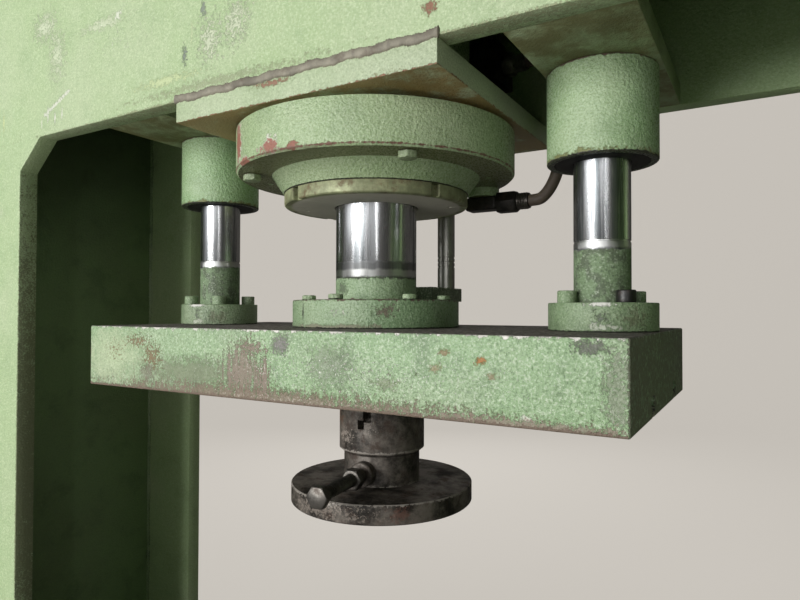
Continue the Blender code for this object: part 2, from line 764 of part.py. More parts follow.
def ram(mover):
    """Chromed ram rod, piston and piston seal."""
    spigot_top = PISTON_TOP
    spigot_low = RAM_FLANGE_BOTTOM + ROD_SPIGOT_FLOOR
    outline = [
        (0.0, spigot_top),
        (ROD_TOP_SPIGOT_R, spigot_top),
        (ROD_TOP_SPIGOT_R, PISTON_BOTTOM - GAP),
        (RAM_R, PISTON_BOTTOM - GAP),
        (RAM_R, COLLAR_TOP + GAP),
        (ROD_BOTTOM_SPIGOT_R, COLLAR_TOP + GAP),
        (ROD_BOTTOM_SPIGOT_R, spigot_low),
        (0.0, spigot_low),
    ]
    rod = turned("ram_rod", CHROME, outline, EXTRA_FINE_SIDES)
    outer = BORE_R - GAP
    seal_low = PISTON_BOTTOM + (PISTON_H - PISTON_SEAL_H) / 2
    seal_high = seal_low + PISTON_SEAL_H
    groove_r = outer - PISTON_SEAL_DEPTH
    bore = ROD_TOP_SPIGOT_R + GAP
    outline = [
        (outer, PISTON_TOP),
        (outer, seal_high + GAP),
        (groove_r, seal_high + GAP),
        (groove_r, seal_low - GAP),
        (outer, seal_low - GAP),
        (outer, PISTON_BOTTOM),
        (bore, PISTON_BOTTOM),
        (bore, PISTON_TOP),
    ]
    piston = turned("piston", BRIGHT_STEEL, outline, EXTRA_FINE_SIDES, ring=True)
    seal_bore = groove_r + GAP
    seal = sleeve("piston_seal", RUBBER, outer, seal_bore, seal_low, PISTON_SEAL_H, EXTRA_FINE_SIDES)
    hold(mover, rod, piston, seal)


def under_arm(x, y):
    """Tell whether the arm of the travel rod covers the point x, y."""
    return abs(x) < ARM_HALF_FRONT and y > RAM_R


def ram_flange(mover):
    """Collar and flange on the platen, and their six screws."""
    bore = ROD_BOTTOM_SPIGOT_R + GAP
    outline = [
        (RAM_R, COLLAR_TOP),
        (RAM_R, RAM_FLANGE_TOP),
        (RAM_FLANGE_R, RAM_FLANGE_TOP),
        (RAM_FLANGE_R, RAM_FLANGE_BOTTOM),
        (bore, RAM_FLANGE_BOTTOM),
        (bore, COLLAR_TOP),
    ]
    flange = turned("ram_flange", GREEN_PAINT, outline, EXTRA_FINE_SIDES, ring=True)
    hold(mover, flange)
    reach = RAM_FLANGE_H + RAM_BOLT_DEPTH
    circle = around(RAM_BOLT_CIRCLE_R, RAM_BOLT_COUNT, RAM_BOLT_START)
    for number, (x, y) in enumerate(circle, 1):
        hole = prism(
            f"ram_screw_hole_{number}",
            None,
            RAM_SCREW_R + GAP,
            -RAM_FLANGE_H,
            2 * RAM_FLANGE_H,
            COARSE_SIDES,
        )
        cut(flange, place(hole, x, y, RAM_FLANGE_BOTTOM))
        seat = ARM_TOP if under_arm(x, y) else RAM_FLANGE_TOP
        length = reach + seat - RAM_FLANGE_TOP
        screw = hex_screw(
            f"ram_flange_bolt_{number}",
            DARK_GREEN,
            RAM_SCREW_R,
            RAM_SCREW_AF,
            RAM_SCREW_HEAD_H,
            length,
            head_up=True,
        )
        place(screw, x, y, seat + GAP)
        hold(mover, screw)


def platen(mover):
    """Platen block with two T-slots along X and the ram flange's screw holes."""
    half = PLATEN_WIDTH / 2
    depth = PLATEN_DEPTH / 2
    body = block(
        "platen", GREEN_PAINT, (-half, half), (-depth, depth), (PLATEN_BOTTOM, PLATEN_TOP)
    )
    edge = body.modifiers.new("edge", "BEVEL")
    edge.width = PLATEN_EDGE
    edge.segments = 1
    edge.limit_method = "ANGLE"
    for number, sign in enumerate((-1.0, 1.0), 1):
        middle = TOOL_Y + sign * SLOT_SPACING / 2
        head_low = PLATEN_BOTTOM + SLOT_LIP_T
        neck = SLOT_NECK_W / 2
        head = SLOT_HEAD_W / 2
        outline = [
            (middle - neck, PLATEN_BOTTOM - SLOT_LIP_T),
            (middle + neck, PLATEN_BOTTOM - SLOT_LIP_T),
            (middle + neck, head_low),
            (middle + head, head_low),
            (middle + head, head_low + SLOT_HEAD_H),
            (middle - head, head_low + SLOT_HEAD_H),
            (middle - head, head_low),
            (middle - neck, head_low),
        ]
        slot = plate(f"t_slot_{number}", None, outline, -PLATEN_WIDTH, PLATEN_WIDTH)
        slot.matrix_world = Matrix(
            ((0, 0, 1, 0), (1, 0, 0, 0), (0, 1, 0, 0), (0, 0, 0, 1))
        )
        cut(body, slot)
    circle = around(RAM_BOLT_CIRCLE_R, RAM_BOLT_COUNT, RAM_BOLT_START)
    for number, (x, y) in enumerate(circle, 1):
        hole = prism(
            f"platen_screw_hole_{number}",
            None,
            RAM_SCREW_R + GAP,
            -RAM_BOLT_DEPTH - 2 * GAP,
            RAM_BOLT_DEPTH,
            COARSE_SIDES,
        )
        cut(body, place(hole, x, y, PLATEN_TOP))
    hold(mover, body)


def guides(mover):
    """Guide housings with liner and scraper, guide rods and their flanges."""
    rod_top = SPIGOT_TOP + STROKE_DOWN + GUIDE_ROD_SPARE
    bore = GUIDE_ROD_R + RUNNING_CLEARANCE
    recess_top = HOUSING_BOTTOM + SCRAPER_RECESS_H
    groove_z = PLATEN_TOP + ROD_GROOVE_Z
    for side, sign in (("left", -1.0), ("right", 1.0)):
        x = sign * GUIDE_X
        outline = [
            (GUIDE_SPIGOT_R, SPIGOT_TOP),
            (GUIDE_SPIGOT_R, HOUSING_TOP),
            (GUIDE_HOUSING_R, HOUSING_TOP),
            (GUIDE_HOUSING_R, HOUSING_BOTTOM),
            (SCRAPER_RECESS_R, HOUSING_BOTTOM),
            (SCRAPER_RECESS_R, recess_top),
            (LINER_R + GAP, recess_top),
            (LINER_R + GAP, SPIGOT_TOP),
        ]
        place(turned(f"guide_housing_{side}", GREEN_PAINT, outline, FINE_SIDES, ring=True), x)
        liner_low = recess_top + GUIDE_LINER_INSET
        liner_h = SPIGOT_TOP - GUIDE_LINER_INSET - liner_low
        place(sleeve(f"guide_liner_{side}", BRONZE, LINER_R, bore, liner_low, liner_h), x)
        scraper_h = SCRAPER_RECESS_H - GAP
        scraper_r = SCRAPER_RECESS_R - GAP
        place(sleeve(f"guide_scraper_{side}", RUBBER, scraper_r, bore, HOUSING_BOTTOM, scraper_h), x)
        outline = [
            (0.0, rod_top),
            (GUIDE_ROD_R - ROD_GROOVE_H, rod_top),
            (GUIDE_ROD_R, rod_top - ROD_GROOVE_H),
            (GUIDE_ROD_R, groove_z + ROD_GROOVE_H),
            (GUIDE_ROD_R - ROD_GROOVE_DEPTH, groove_z + ROD_GROOVE_H),
            (GUIDE_ROD_R - ROD_GROOVE_DEPTH, groove_z),
            (GUIDE_ROD_R, groove_z),
            (GUIDE_ROD_R, PLATEN_TOP + GAP),
            (0.0, PLATEN_TOP + GAP),
        ]
        rod = place(turned(f"guide_rod_{side}", BRIGHT_STEEL, outline, FINE_SIDES), x)
        flange = rod_flange(side, x)
        hold(mover, rod, flange)


def rod_flange(side, x):
    """Flange on a guide rod's foot, one body with the heads of its four cap screws."""
    low = PLATEN_TOP + GAP
    flange = sleeve(
        f"guide_rod_flange_{side}",
        GREEN_PAINT,
        ROD_FLANGE_R,
        GUIDE_ROD_R + GAP,
        low,
        ROD_FLANGE_H,
    )
    place(flange, x)
    top = low + ROD_FLANGE_H
    for number, (dx, dy) in enumerate(around(CAP_SCREW_CIRCLE_R, 4, 45.0), 1):
        head = prism(
            f"cap_screw_{side}_{number}", None, CAP_SCREW_R, -ROD_FLANGE_H / 2, CAP_SCREW_H, 16
        )
        fuse(flange, place(head, x + dx, dy, top))
        socket = prism(
            f"cap_socket_{side}_{number}",
            None,
            CAP_SCREW_SOCKET_R,
            CAP_SCREW_H - CAP_SCREW_SOCKET_DEPTH,
            2 * CAP_SCREW_H,
            6,
        )
        cut(flange, place(socket, x + dx, dy, top))
    return flange


def travel_rod(mover):
    """Arm behind the ram collar and the thin rod that stands on it."""
    front = RAM_R + ARM_FRONT_CLEARANCE
    rear = TRAVEL_Y + ARM_REAR_MARGIN
    outline = [
        (-ARM_HALF_FRONT, front),
        (ARM_HALF_FRONT, front),
        (ARM_HALF_FRONT, rear),
        (TRAVEL_X - ARM_HALF_REAR, rear),
        (-ARM_HALF_FRONT, (front + rear) / 2),
    ]
    arm = plate("travel_rod_arm", DARK_GREEN, outline, ARM_BOTTOM, ARM_TOP)
    spigot_hole = prism("arm_rod_hole", None, TRAVEL_SPIGOT_R + GAP, -ARM_T, 2 * ARM_T, MEDIUM_SIDES)
    cut(arm, place(spigot_hole, TRAVEL_X, TRAVEL_Y, ARM_BOTTOM))
    circle = around(RAM_BOLT_CIRCLE_R, RAM_BOLT_COUNT, RAM_BOLT_START)
    for x, y in circle:
        if under_arm(x, y):
            hole = prism("arm_screw_hole", None, RAM_SCREW_R + GAP, -ARM_T, 2 * ARM_T, COARSE_SIDES)
            cut(arm, place(hole, x, y, ARM_BOTTOM))
    top = PAD_TOP + STROKE_DOWN + TRAVEL_SPARE
    outline = [(0.0, top), (TRAVEL_R, top)]
    for number in reversed(range(TRAVEL_GROOVE_COUNT)):
        low = PLATEN_TOP + TRAVEL_GROOVES_Z + number * TRAVEL_GROOVE_PITCH
        high = low + TRAVEL_GROOVE_PITCH / 3
        bottom_r = TRAVEL_R - TRAVEL_GROOVE_DEPTH
        outline += [(TRAVEL_R, high), (bottom_r, high), (bottom_r, low), (TRAVEL_R, low)]
    outline += [
        (TRAVEL_R, ARM_TOP + GAP),
        (TRAVEL_SPIGOT_R, ARM_TOP + GAP),
        (TRAVEL_SPIGOT_R, ARM_BOTTOM),
        (0.0, ARM_BOTTOM),
    ]
    rod = place(turned("travel_rod", BRIGHT_STEEL, outline, MEDIUM_SIDES), TRAVEL_X, TRAVEL_Y)
    hold(mover, arm, rod)


def tool(mover):
    """Bayonet sleeve under the platen, disc with hub, clamp screw and lock nut."""
    chamfer_top = SLEEVE_BOTTOM + SLEEVE_CHAMFER_H
    outline = [
        (SLEEVE_R, SLEEVE_TOP),
        (SLEEVE_R, chamfer_top),
        (HUB_R, SLEEVE_BOTTOM),
        (SLEEVE_BORE_R, SLEEVE_BOTTOM),
        (SLEEVE_BORE_R, SLEEVE_TOP),
    ]
    socket = place(turned("tool_sleeve", BLACK_STEEL, outline, FINE_SIDES, ring=True), 0.0, TOOL_Y)
    entry = latch_cutter("latch_entry", LATCH_ANGLE, 0.0, LATCH_ENTRY_H)
    pocket = latch_cutter("latch_pocket", LATCH_POCKET_ANGLE, LATCH_POCKET_TOP, LATCH_POCKET_FLOOR)
    cut(socket, entry)
    cut(socket, pocket)
    spigot_r = SLEEVE_BORE_R - GAP
    spigot_top = HUB_TOP + HUB_SPIGOT_RISE
    outline = [
        (0.0, spigot_top),
        (spigot_r, spigot_top),
        (spigot_r, HUB_TOP),
        (HUB_R, HUB_TOP),
        (HUB_R, DISC_TOP),
        (DISC_R - DISC_EDGE, DISC_TOP),
        (DISC_R, DISC_TOP - DISC_EDGE),
        (DISC_R, DISC_BOTTOM + DISC_EDGE),
        (DISC_R - DISC_EDGE, DISC_BOTTOM),
        (0.0, DISC_BOTTOM),
    ]
    disc = place(turned("tool_disc", BLACK_STEEL, outline, EXTRA_FINE_SIDES), 0.0, TOOL_Y)
    boss = prism("screw_boss", None, BOSS_R, HUB_R / 2, BOSS_REACH, MEDIUM_SIDES)
    fuse(disc, along_screw(boss))
    bore = prism("screw_bore", None, SCREW_R + GAP, SCREW_TIP - GAP, 2 * BOSS_REACH, COARSE_SIDES)
    cut(disc, along_screw(bore))
    screw = prism("clamp_screw", BLACK_STEEL, SCREW_R, SCREW_TIP, SCREW_HEAD_AT + GAP, COARSE_SIDES)
    head_r = SCREW_HEAD_AF / math.sqrt(3)
    head_end = SCREW_HEAD_AT + SCREW_HEAD_H
    head = prism("clamp_screw_head", None, head_r, SCREW_HEAD_AT, head_end, 6)
    fuse(along_screw(screw), along_screw(head))
    nut_end = LOCK_NUT_AT + LOCK_NUT_H
    nut = prism("lock_nut", BLACK_STEEL, head_r, LOCK_NUT_AT, nut_end, 6)
    thread = prism("lock_nut_bore", None, SCREW_R + GAP, 0.0, 2 * nut_end, COARSE_SIDES)
    cut(along_screw(nut), along_screw(thread))
    hold(mover, socket, disc, screw, nut)


def latch_cutter(name, degrees, top, floor):
    """Radial slot cutter in the sleeve's wall, from top to floor under the platen."""
    above = LATCH_WIDTH if top == 0.0 else 0.0
    cutter = block(
        name,
        None,
        (SLEEVE_BORE_R / 2, 2 * SLEEVE_R),
        (-LATCH_WIDTH / 2, LATCH_WIDTH / 2),
        (SLEEVE_TOP - floor, SLEEVE_TOP - top + above),
    )
    cutter.rotation_euler = (0.0, 0.0, math.radians(degrees))
    return place(cutter, 0.0, TOOL_Y)


def along_screw(obj):
    """Lay a shape made on the Z axis along the clamp screw's axis."""
    obj.rotation_euler = (0.0, math.pi / 2, math.radians(SCREW_ANGLE))
    return place(obj, 0.0, TOOL_Y, SCREW_Z)


def smooth_route(points, steps):
    """Points of a Catmull-Rom curve through the given points, with straight end runs."""
    route = [Vector(points[0])]
    for i in range(1, len(points) - 2):
        before, start, end, after = (Vector(p) for p in points[i - 1 : i + 3])
        for step in range(steps):
            t = step / steps
            route.append(
                0.5
                * (
                    2 * start
                    + (end - before) * t
                    + (2 * before - 5 * start + 4 * end - after) * t**2
                    + (3 * start - 3 * end + after - before) * t**3
                )
            )
    route += [Vector(points[-2]), Vector(points[-1])]
    return route


def bent_route(corners, radius, steps):
    """Points of a pipe's route: straight runs with an arc at each corner."""
    route = [Vector(corners[0])]
    for i in range(1, len(corners) - 1):
        corner = Vector(corners[i])
        back = (Vector(corners[i - 1]) - corner).normalized()
        ahead = (Vector(corners[i + 1]) - corner).normalized()
        half = back.angle(ahead) / 2
        reach = radius / math.tan(half)
        centre = corner + (back + ahead).normalized() * (radius / math.sin(half))
        start = corner + back * reach - centre
        end = corner + ahead * reach - centre
        turn = start.angle(end)
        for step in range(steps + 1):
            share = step / steps
            route.append(
                centre
                + start * (math.sin((1 - share) * turn) / math.sin(turn))
                + end * (math.sin(share * turn) / math.sin(turn))
            )
    route.append(Vector(corners[-1]))
    return route


def tube(name, finish, route, radius, resolution):
    """Round tube with filled ends along a route of points."""
    curve = bpy.data.curves.new(name, "CURVE")
    curve.dimensions = "3D"
    curve.bevel_depth = radius
    curve.bevel_resolution = resolution
    curve.use_fill_caps = True
    spline = curve.splines.new("POLY")
    spline.points.add(len(route) - 1)
    for point, co in zip(spline.points, route):
        point.co = (*co, 1.0)
    return new_object(name, curve, finish)


def line_rows():
    """Y places of the supply and drain pipes on the valve block."""
    return BLOCK_Y - PIPE_PITCH, BLOCK_Y + PIPE_PITCH


def oil_lines():
    """Elbow and hose under the flange, valve block and pipes inside the crown."""
    block(
        "port_elbow",
        BLACK_STEEL,
        (PORT_X - ELBOW_BACK, ELBOW_X1),
        (PORT_Y - ELBOW_WIDTH / 2, PORT_Y + ELBOW_WIDTH / 2),
        (ELBOW_TOP - ELBOW_H, ELBOW_TOP),
    )
    nut = prism("hose_nut", BLACK_STEEL, HOSE_NUT_AF / math.sqrt(3), 0.0, HOSE_NUT_LENGTH, 6)
    along_x(nut, NUT_X0, PORT_Y, ELBOW_Z)
    ferrule = prism("hose_ferrule", BLACK_STEEL, FERRULE_R, 0.0, FERRULE_LENGTH, MEDIUM_SIDES)
    along_x(ferrule, FERRULE_X0, PORT_Y, ELBOW_Z)
    hose_points = [(HOSE_X0, PORT_Y, ELBOW_Z), (HOSE_X0 + HOSE_LEAD, PORT_Y, ELBOW_Z)]
    for out, back, up in HOSE_SHARES:
        x = HOSE_X0 + out * (HOSE_RISE_X - HOSE_X0)
        y = PORT_Y + back * (BLOCK_Y - PORT_Y)
        z = ELBOW_Z + up * (FITTING_Z - ELBOW_Z)
        hose_points.append((x, y, z))
    hose_points += [(HOSE_X1 + HOSE_LEAD, BLOCK_Y, FITTING_Z), (HOSE_X1, BLOCK_Y, FITTING_Z)]
    tube("return_hose", RUBBER, smooth_route(hose_points, 4), HOSE_R, 2)
    outline = [
        (0.0, UPPER_FITTING_LENGTH),
        (FERRULE_R, UPPER_FITTING_LENGTH),
        (FERRULE_R, UPPER_FITTING_NUT_LENGTH),
        (UPPER_FITTING_NUT_R, UPPER_FITTING_NUT_LENGTH),
        (UPPER_FITTING_NUT_R, 0.0),
        (0.0, 0.0),
    ]
    fitting = turned("hose_upper_fitting", DULL_STEEL, outline, COARSE_SIDES)
    along_x(fitting, FITTING_X0, BLOCK_Y, FITTING_Z)
    block(
        "valve_block",
        DULL_STEEL,
        (BLOCK_X0, BLOCK_X1),
        (BLOCK_Y0, BLOCK_Y1),
        (BLOCK_BOTTOM, BLOCK_TOP),
    )
    run_z = CAP_TOP + CAP_PIPE_RISE
    corners = [
        (0.0, 0.0, CAP_TOP - PIPE_SOCKET_DEPTH + GAP),
        (0.0, 0.0, run_z),
        (BLOCK_X, BLOCK_Y, run_z),
        (BLOCK_X, BLOCK_Y, BLOCK_TOP + GAP),
    ]
    tube("cap_pipe", DULL_STEEL, bent_route(corners, PIPE_BEND_R, 6), CAP_PIPE_R, 2)
    top_plate = CROWN_TOP + GAP + TOP_PLATE_T
    for name, y in zip(("supply_pipe", "drain_pipe"), line_rows()):
        outline = [
            (0.0, top_plate + COUPLING_H),
            (COUPLING_R, top_plate + COUPLING_H),
            (COUPLING_R, top_plate + GAP),
            (PIPE_R, top_plate + GAP),
            (PIPE_R, BLOCK_TOP + GAP),
            (0.0, BLOCK_TOP + GAP),
        ]
        place(turned(name, DULL_STEEL, outline, COARSE_SIDES), BLOCK_X, y)


def hold(mover, *pieces):
    """Parent pieces to the ram's empty and keep them where they are."""
    for piece in pieces:
        piece.parent = mover
        piece.matrix_parent_inverse = Matrix.Translation(mover.location).inverted()


def clear_scene():
    """Remove every object of the open scene."""
    for obj in list(bpy.data.objects):
        bpy.data.objects.remove(obj, do_unlink=True)


def main():
    """Build the press."""
    clear_scene()
    frame()
    bed()
    guide_bridges()
    cylinder_pad()
    cylinder_body()
    cylinder_screws()
    cylinder_cap()
    gland()
    oil_lines()
    mover = bpy.data.objects.new("ram_slide", None)
    bpy.context.scene.collection.objects.link(mover)
    mover.location = (0.0, 0.0, PLATEN_TOP)
    ram(mover)
    ram_flange(mover)
    platen(mover)
    guides(mover)
    travel_rod(mover)
    tool(mover)
    for obj in bpy.data.objects:
        if obj.type == "MESH" and not obj.hide_render:
            smooth(obj)


main()
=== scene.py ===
"""Portal-frame hydraulic press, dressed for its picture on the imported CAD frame."""

import json
import logging
import math
from dataclasses import dataclass
from enum import Enum
from typing import Any, Callable, Sequence, Union

import bpy
from mathutils import Matrix, Vector

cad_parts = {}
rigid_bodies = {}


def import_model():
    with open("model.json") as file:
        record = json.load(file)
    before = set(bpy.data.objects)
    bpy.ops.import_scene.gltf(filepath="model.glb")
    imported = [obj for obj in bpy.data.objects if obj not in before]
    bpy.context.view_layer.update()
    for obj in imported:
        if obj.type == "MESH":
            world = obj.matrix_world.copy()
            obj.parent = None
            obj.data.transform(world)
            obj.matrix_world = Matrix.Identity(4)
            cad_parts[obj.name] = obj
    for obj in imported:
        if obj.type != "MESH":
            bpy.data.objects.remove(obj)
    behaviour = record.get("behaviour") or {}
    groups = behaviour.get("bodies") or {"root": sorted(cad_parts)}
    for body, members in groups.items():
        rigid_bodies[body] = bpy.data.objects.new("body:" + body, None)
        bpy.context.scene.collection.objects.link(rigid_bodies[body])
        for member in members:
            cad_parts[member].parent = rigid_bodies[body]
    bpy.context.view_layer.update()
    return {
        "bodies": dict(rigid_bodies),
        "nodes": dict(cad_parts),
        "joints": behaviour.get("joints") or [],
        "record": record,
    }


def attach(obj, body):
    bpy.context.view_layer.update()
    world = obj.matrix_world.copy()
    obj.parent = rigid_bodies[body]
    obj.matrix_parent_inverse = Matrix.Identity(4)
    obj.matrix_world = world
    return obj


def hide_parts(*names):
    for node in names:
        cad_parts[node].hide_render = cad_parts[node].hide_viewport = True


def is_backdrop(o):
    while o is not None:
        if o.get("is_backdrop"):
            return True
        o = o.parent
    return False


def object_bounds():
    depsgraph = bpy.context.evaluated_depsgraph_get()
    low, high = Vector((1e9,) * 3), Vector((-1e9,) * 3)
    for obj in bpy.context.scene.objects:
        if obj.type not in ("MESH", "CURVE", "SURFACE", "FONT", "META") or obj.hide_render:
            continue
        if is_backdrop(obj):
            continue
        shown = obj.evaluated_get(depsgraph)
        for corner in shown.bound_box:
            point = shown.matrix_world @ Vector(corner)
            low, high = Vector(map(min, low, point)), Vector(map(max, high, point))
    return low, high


LOG = logging.getLogger("press")
Colour = tuple[float, float, float, float]
Point = tuple[float, float, float]
Profile = Sequence[tuple[float, float]]
Value = Union[float, Colour, Point, "Wire"]
Piece = bpy.types.Object

EVEN: Point = (1, 1, 1)
UPRIGHT_STRETCH: Point = (1, 1, 0.3)


class Axis(Enum):
    """The three directions of the press: width, depth and height."""

    X = 0
    Y = 1
    Z = 2


class Side(Enum):
    """Left and right of the ram, seen from the front."""

    LEFT = -1
    RIGHT = 1

    @property
    def word(self) -> str:
        """The side's name in small letters."""
        return self.name.lower()

    def span(self, pair: tuple[float, float]) -> list[float]:
        """Lower and higher X of two distances from the middle."""
        return sorted(self.value * distance for distance in pair)


class Body(Enum):
    """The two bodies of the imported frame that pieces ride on."""

    FRAME = "frame"
    RAM = "ram"


class Slot(Enum):
    """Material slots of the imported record."""

    GREEN = "green_paint"
    DARK = "dark_green_paint"
    CHROME = "hard_chrome"
    GROUND = "ground_steel"
    TURNED = "turned_steel"
    OILED = "oiled_black_steel"
    WELD = "bare_weld"
    RUBBER = "black_rubber"


def paint(red: int, green: int, blue: int) -> Colour:
    """Turn a colour of 0 to 255 a channel into the linear one that shaders take.

    Args:
        red, green, blue: the channels as they are seen on a screen.

    Returns:
        The linear colour, with full opacity.
    """
    def linear(channel: int) -> float:
        """Linear value of one channel."""
        share = channel / 255
        return share / 12.92 if share <= 0.04045 else ((share + 0.055) / 1.055) ** 2.4

    return linear(red), linear(green), linear(blue), 1.0


# ---------------------------------------------------------------- shader kit


def joined(operation: str, swapped: bool = False) -> Callable[["Wire", Value], "Wire"]:
    """Make an operator's method out of one operation of the Math node.

    Args:
        operation: the Math node's operation.
        swapped: whether the other value stands in front.

    Returns:
        The method.
    """
    def method(wire: "Wire", other: Value) -> "Wire":
        """Join the wire and the other value in their order."""
        return wire.graph.maths(operation, *((other, wire) if swapped else (wire, other)))

    return method


class Wire:
    """A socket's output that takes part in shader arithmetic."""

    def __init__(self, graph: "Graph", socket: bpy.types.NodeSocket) -> None:
        """Hold the graph and the socket that the value comes from."""
        self.graph = graph
        self.socket = socket

    __add__, __radd__ = joined("ADD"), joined("ADD", True)
    __sub__, __rsub__ = joined("SUBTRACT"), joined("SUBTRACT", True)
    __mul__, __rmul__ = joined("MULTIPLY"), joined("MULTIPLY", True)
    __truediv__, __rtruediv__ = joined("DIVIDE"), joined("DIVIDE", True)


class Graph:
    """A material's node tree, with short ways to add what the finishes need."""

    def __init__(self, name: str) -> None:
        """Start an empty material.

        Args:
            name: the finish's name.
        """
        self.material = bpy.data.materials.new(name)
        self.material.use_nodes = True
        self.tree = self.material.node_tree
        self.tree.nodes.clear()
        self.made: dict[tuple, Wire] = {}
        self.place = Wire(self, self.node("ShaderNodeTexCoord").outputs["Object"])
        split = self.node("ShaderNodeSeparateXYZ", values={"Vector": self.place})
        self.along = [Wire(self, split.outputs[axis.value]) for axis in Axis]

    def node(self, kind: str, settings: dict[str, Any] | None = None,
             values: dict[str | int, Value] | None = None) -> bpy.types.Node:
        """Add one node of any type.

        Args:
            kind: the node's type name.
            settings: properties set first, such as an operation.
            values: numbers, colours or wires for its input sockets.

        Returns:
            The new node.
        """
        node = self.tree.nodes.new(kind)
        for key, setting in (settings or {}).items():
            setattr(node, key, setting)
        for key, value in (values or {}).items():
            if isinstance(value, Wire):
                self.tree.links.new(value.socket, node.inputs[key])
            else:
                node.inputs[key].default_value = value
        return node

    def maths(self, operation: str, *terms: Value) -> Wire:
        """Join numbers or wires by one operation of the Math node.

        Args:
            operation: the Math node's operation.
            terms: its inputs in order.

        Returns:
            The result.
        """
        node = self.node("ShaderNodeMath", {"operation": operation}, dict(enumerate(terms)))
        return Wire(self, node.outputs[0])

    def mix(self, share: Value, first: Value, second: Value) -> Wire:
        """Mix two colours.

        Args:
            share: how much of the second colour shows.
            first, second: the colours.

        Returns:
            The mixed colour.
        """
        node = self.node("ShaderNodeMix", {"data_type": "RGBA"}, {0: share, 6: first, 7: second})
        return Wire(self, node.outputs[2])

    def band(self, value: Value, start: float, end: float) -> Wire:
        """Rise smoothly from 0 at start to 1 at end.

        Args:
            value: what is measured.
            start, end: where the rise begins and ends, in either order.

        Returns:
            The share between 0 and 1.
        """
        node = self.node("ShaderNodeMapRange", {"interpolation_type": "SMOOTHSTEP"},
                         {"Value": value, "From Min": start, "From Max": end})
        return Wire(self, node.outputs[0])

    def stretched(self, scale: Point) -> Wire:
        """Scale the object coordinates by axis, for streaks and drawn-out stains.

        Args:
            scale: scale of each axis.

        Returns:
            The scaled coordinates.
        """
        if scale == EVEN:
            return self.place
        node = self.node("ShaderNodeMapping", values={"Vector": self.place, "Scale": scale})
        return Wire(self, node.outputs[0])

    def noise(self, scale: float, detail: float = 3, rough: float = 0.55,
              stretch: Point = EVEN) -> Wire:
        """Cloudy noise, kept so that equal requests share one node.

        Args:
            scale: waves to a metre.
            detail: octaves.
            rough: how strong the fine octaves are.
            stretch: scale of each axis.

        Returns:
            The noise, mostly between 0.3 and 0.7.
        """
        key = ("noise", scale, detail, rough, stretch)
        if key not in self.made:
            node = self.node("ShaderNodeTexNoise", values={
                "Vector": self.stretched(stretch), "Scale": scale, "Detail": detail,
                "Roughness": rough})
            self.made[key] = Wire(self, node.outputs[0])
        return self.made[key]

    def reach(self, centre: Point, size: Point) -> Wire:
        """Distance from a centre in shares of a size, 1 at the edge of that ellipsoid.

        Args:
            centre: the middle, in metres.
            size: the three half-sizes, in metres.

        Returns:
            The distance.
        """
        away = self.node("ShaderNodeVectorMath", {"operation": "SUBTRACT"},
                         {0: self.place, 1: centre})
        share = self.node("ShaderNodeVectorMath", {"operation": "DIVIDE"},
                          {0: Wire(self, away.outputs[0]), 1: size})
        length = self.node("ShaderNodeVectorMath", {"operation": "LENGTH"},
                           {0: Wire(self, share.outputs[0])})
        return Wire(self, length.outputs["Value"])

    def facing(self) -> Wire:
        """Measure how far the surface faces up.

        Returns:
            1 for a top, 0 for a side and -1 for an underside.
        """
        key = ("facing",)
        if key not in self.made:
            normal = self.node("ShaderNodeNewGeometry").outputs["True Normal"]
            split = self.node("ShaderNodeSeparateXYZ", values={"Vector": Wire(self, normal)})
            self.made[key] = Wire(self, split.outputs[Axis.Z.value])
        return self.made[key]

    def finish(self, colour: Value, roughness: Value, metallic: Value = 0.0,
               height: Value | None = None, depth: float = 0.001,
               strength: float = 0.5, **fixed: float) -> bpy.types.Material:
        """Close the graph with its shader.

        Args:
            colour, roughness, metallic: what varies over the surface.
            height: relief for the bump.
            depth: metres of relief for a height of 1.
            strength: the bump's strength.
            fixed: constants of the shader's other sockets, with _ for a space.

        Returns:
            The finished material.
        """
        values: dict[str | int, Value] = {
            "Base Color": colour, "Roughness": roughness, "Metallic": metallic}
        values.update({key.replace("_", " "): value for key, value in fixed.items()})
        if height is not None:
            bump = self.node("ShaderNodeBump", values={
                "Height": height, "Distance": depth, "Strength": strength})
            values["Normal"] = Wire(self, bump.outputs[0])
        shader = self.node("ShaderNodeBsdfPrincipled", values=values)
        self.node("ShaderNodeOutputMaterial",
                  values={"Surface": Wire(self, shader.outputs[0])})
        return self.material


# ---------------------------------------------------------------- finishes

# Where a face that looks up or down starts to count as a top, an underside or a side.
TOP = (0.8, 0.95)
UNDERSIDE = (-0.8, -0.95)
SIDEWAYS = (0.92, 0.8)

# Waves to a metre of the smallest chips, and of the grain of paint and chrome.
CHIP_WAVES = 260
GRAIN_WAVES = 300

BROWN = paint(104, 84, 74)
RUST = paint(140, 84, 56)
PRIMER = paint(142, 92, 76)
BLACK = paint(24, 23, 21)
SOOT = paint(50, 48, 42)
CHALK = paint(226, 230, 212)
BARE = paint(150, 146, 138)


@dataclass(frozen=True)
class Edge:
    """Wear along one straight edge or ring of a piece; one such line is a painted shadow."""

    axis: Axis
    at: float
    reach: float
    tint: Colour
    cover: float = 0.7
    ragged: float = 2.0
    grain: float = 60.0
    stretch: Point = EVEN
    specks: float = 1.6
    soft: float = 0.3

    def mask(self, graph: Graph) -> Wire:
        """Work out where this wear shows, on upright faces only when it runs round Z.

        Args:
            graph: the material's graph.

        Returns:
            The share of the surface that it covers.
        """
        gap = graph.maths("ABSOLUTE", graph.along[self.axis.value] - self.at)
        rag = graph.noise(self.grain, 4, 0.7, self.stretch)
        level = gap / self.reach + (rag - 0.5) * self.ragged
        level = level + (graph.noise(CHIP_WAVES, 3, 0.75) - 0.5) * self.specks
        share = graph.band(level, self.cover, self.cover - self.soft)
        if self.axis is Axis.Z:
            share = share * graph.band(graph.maths("ABSOLUTE", graph.facing()), *SIDEWAYS)
        return share


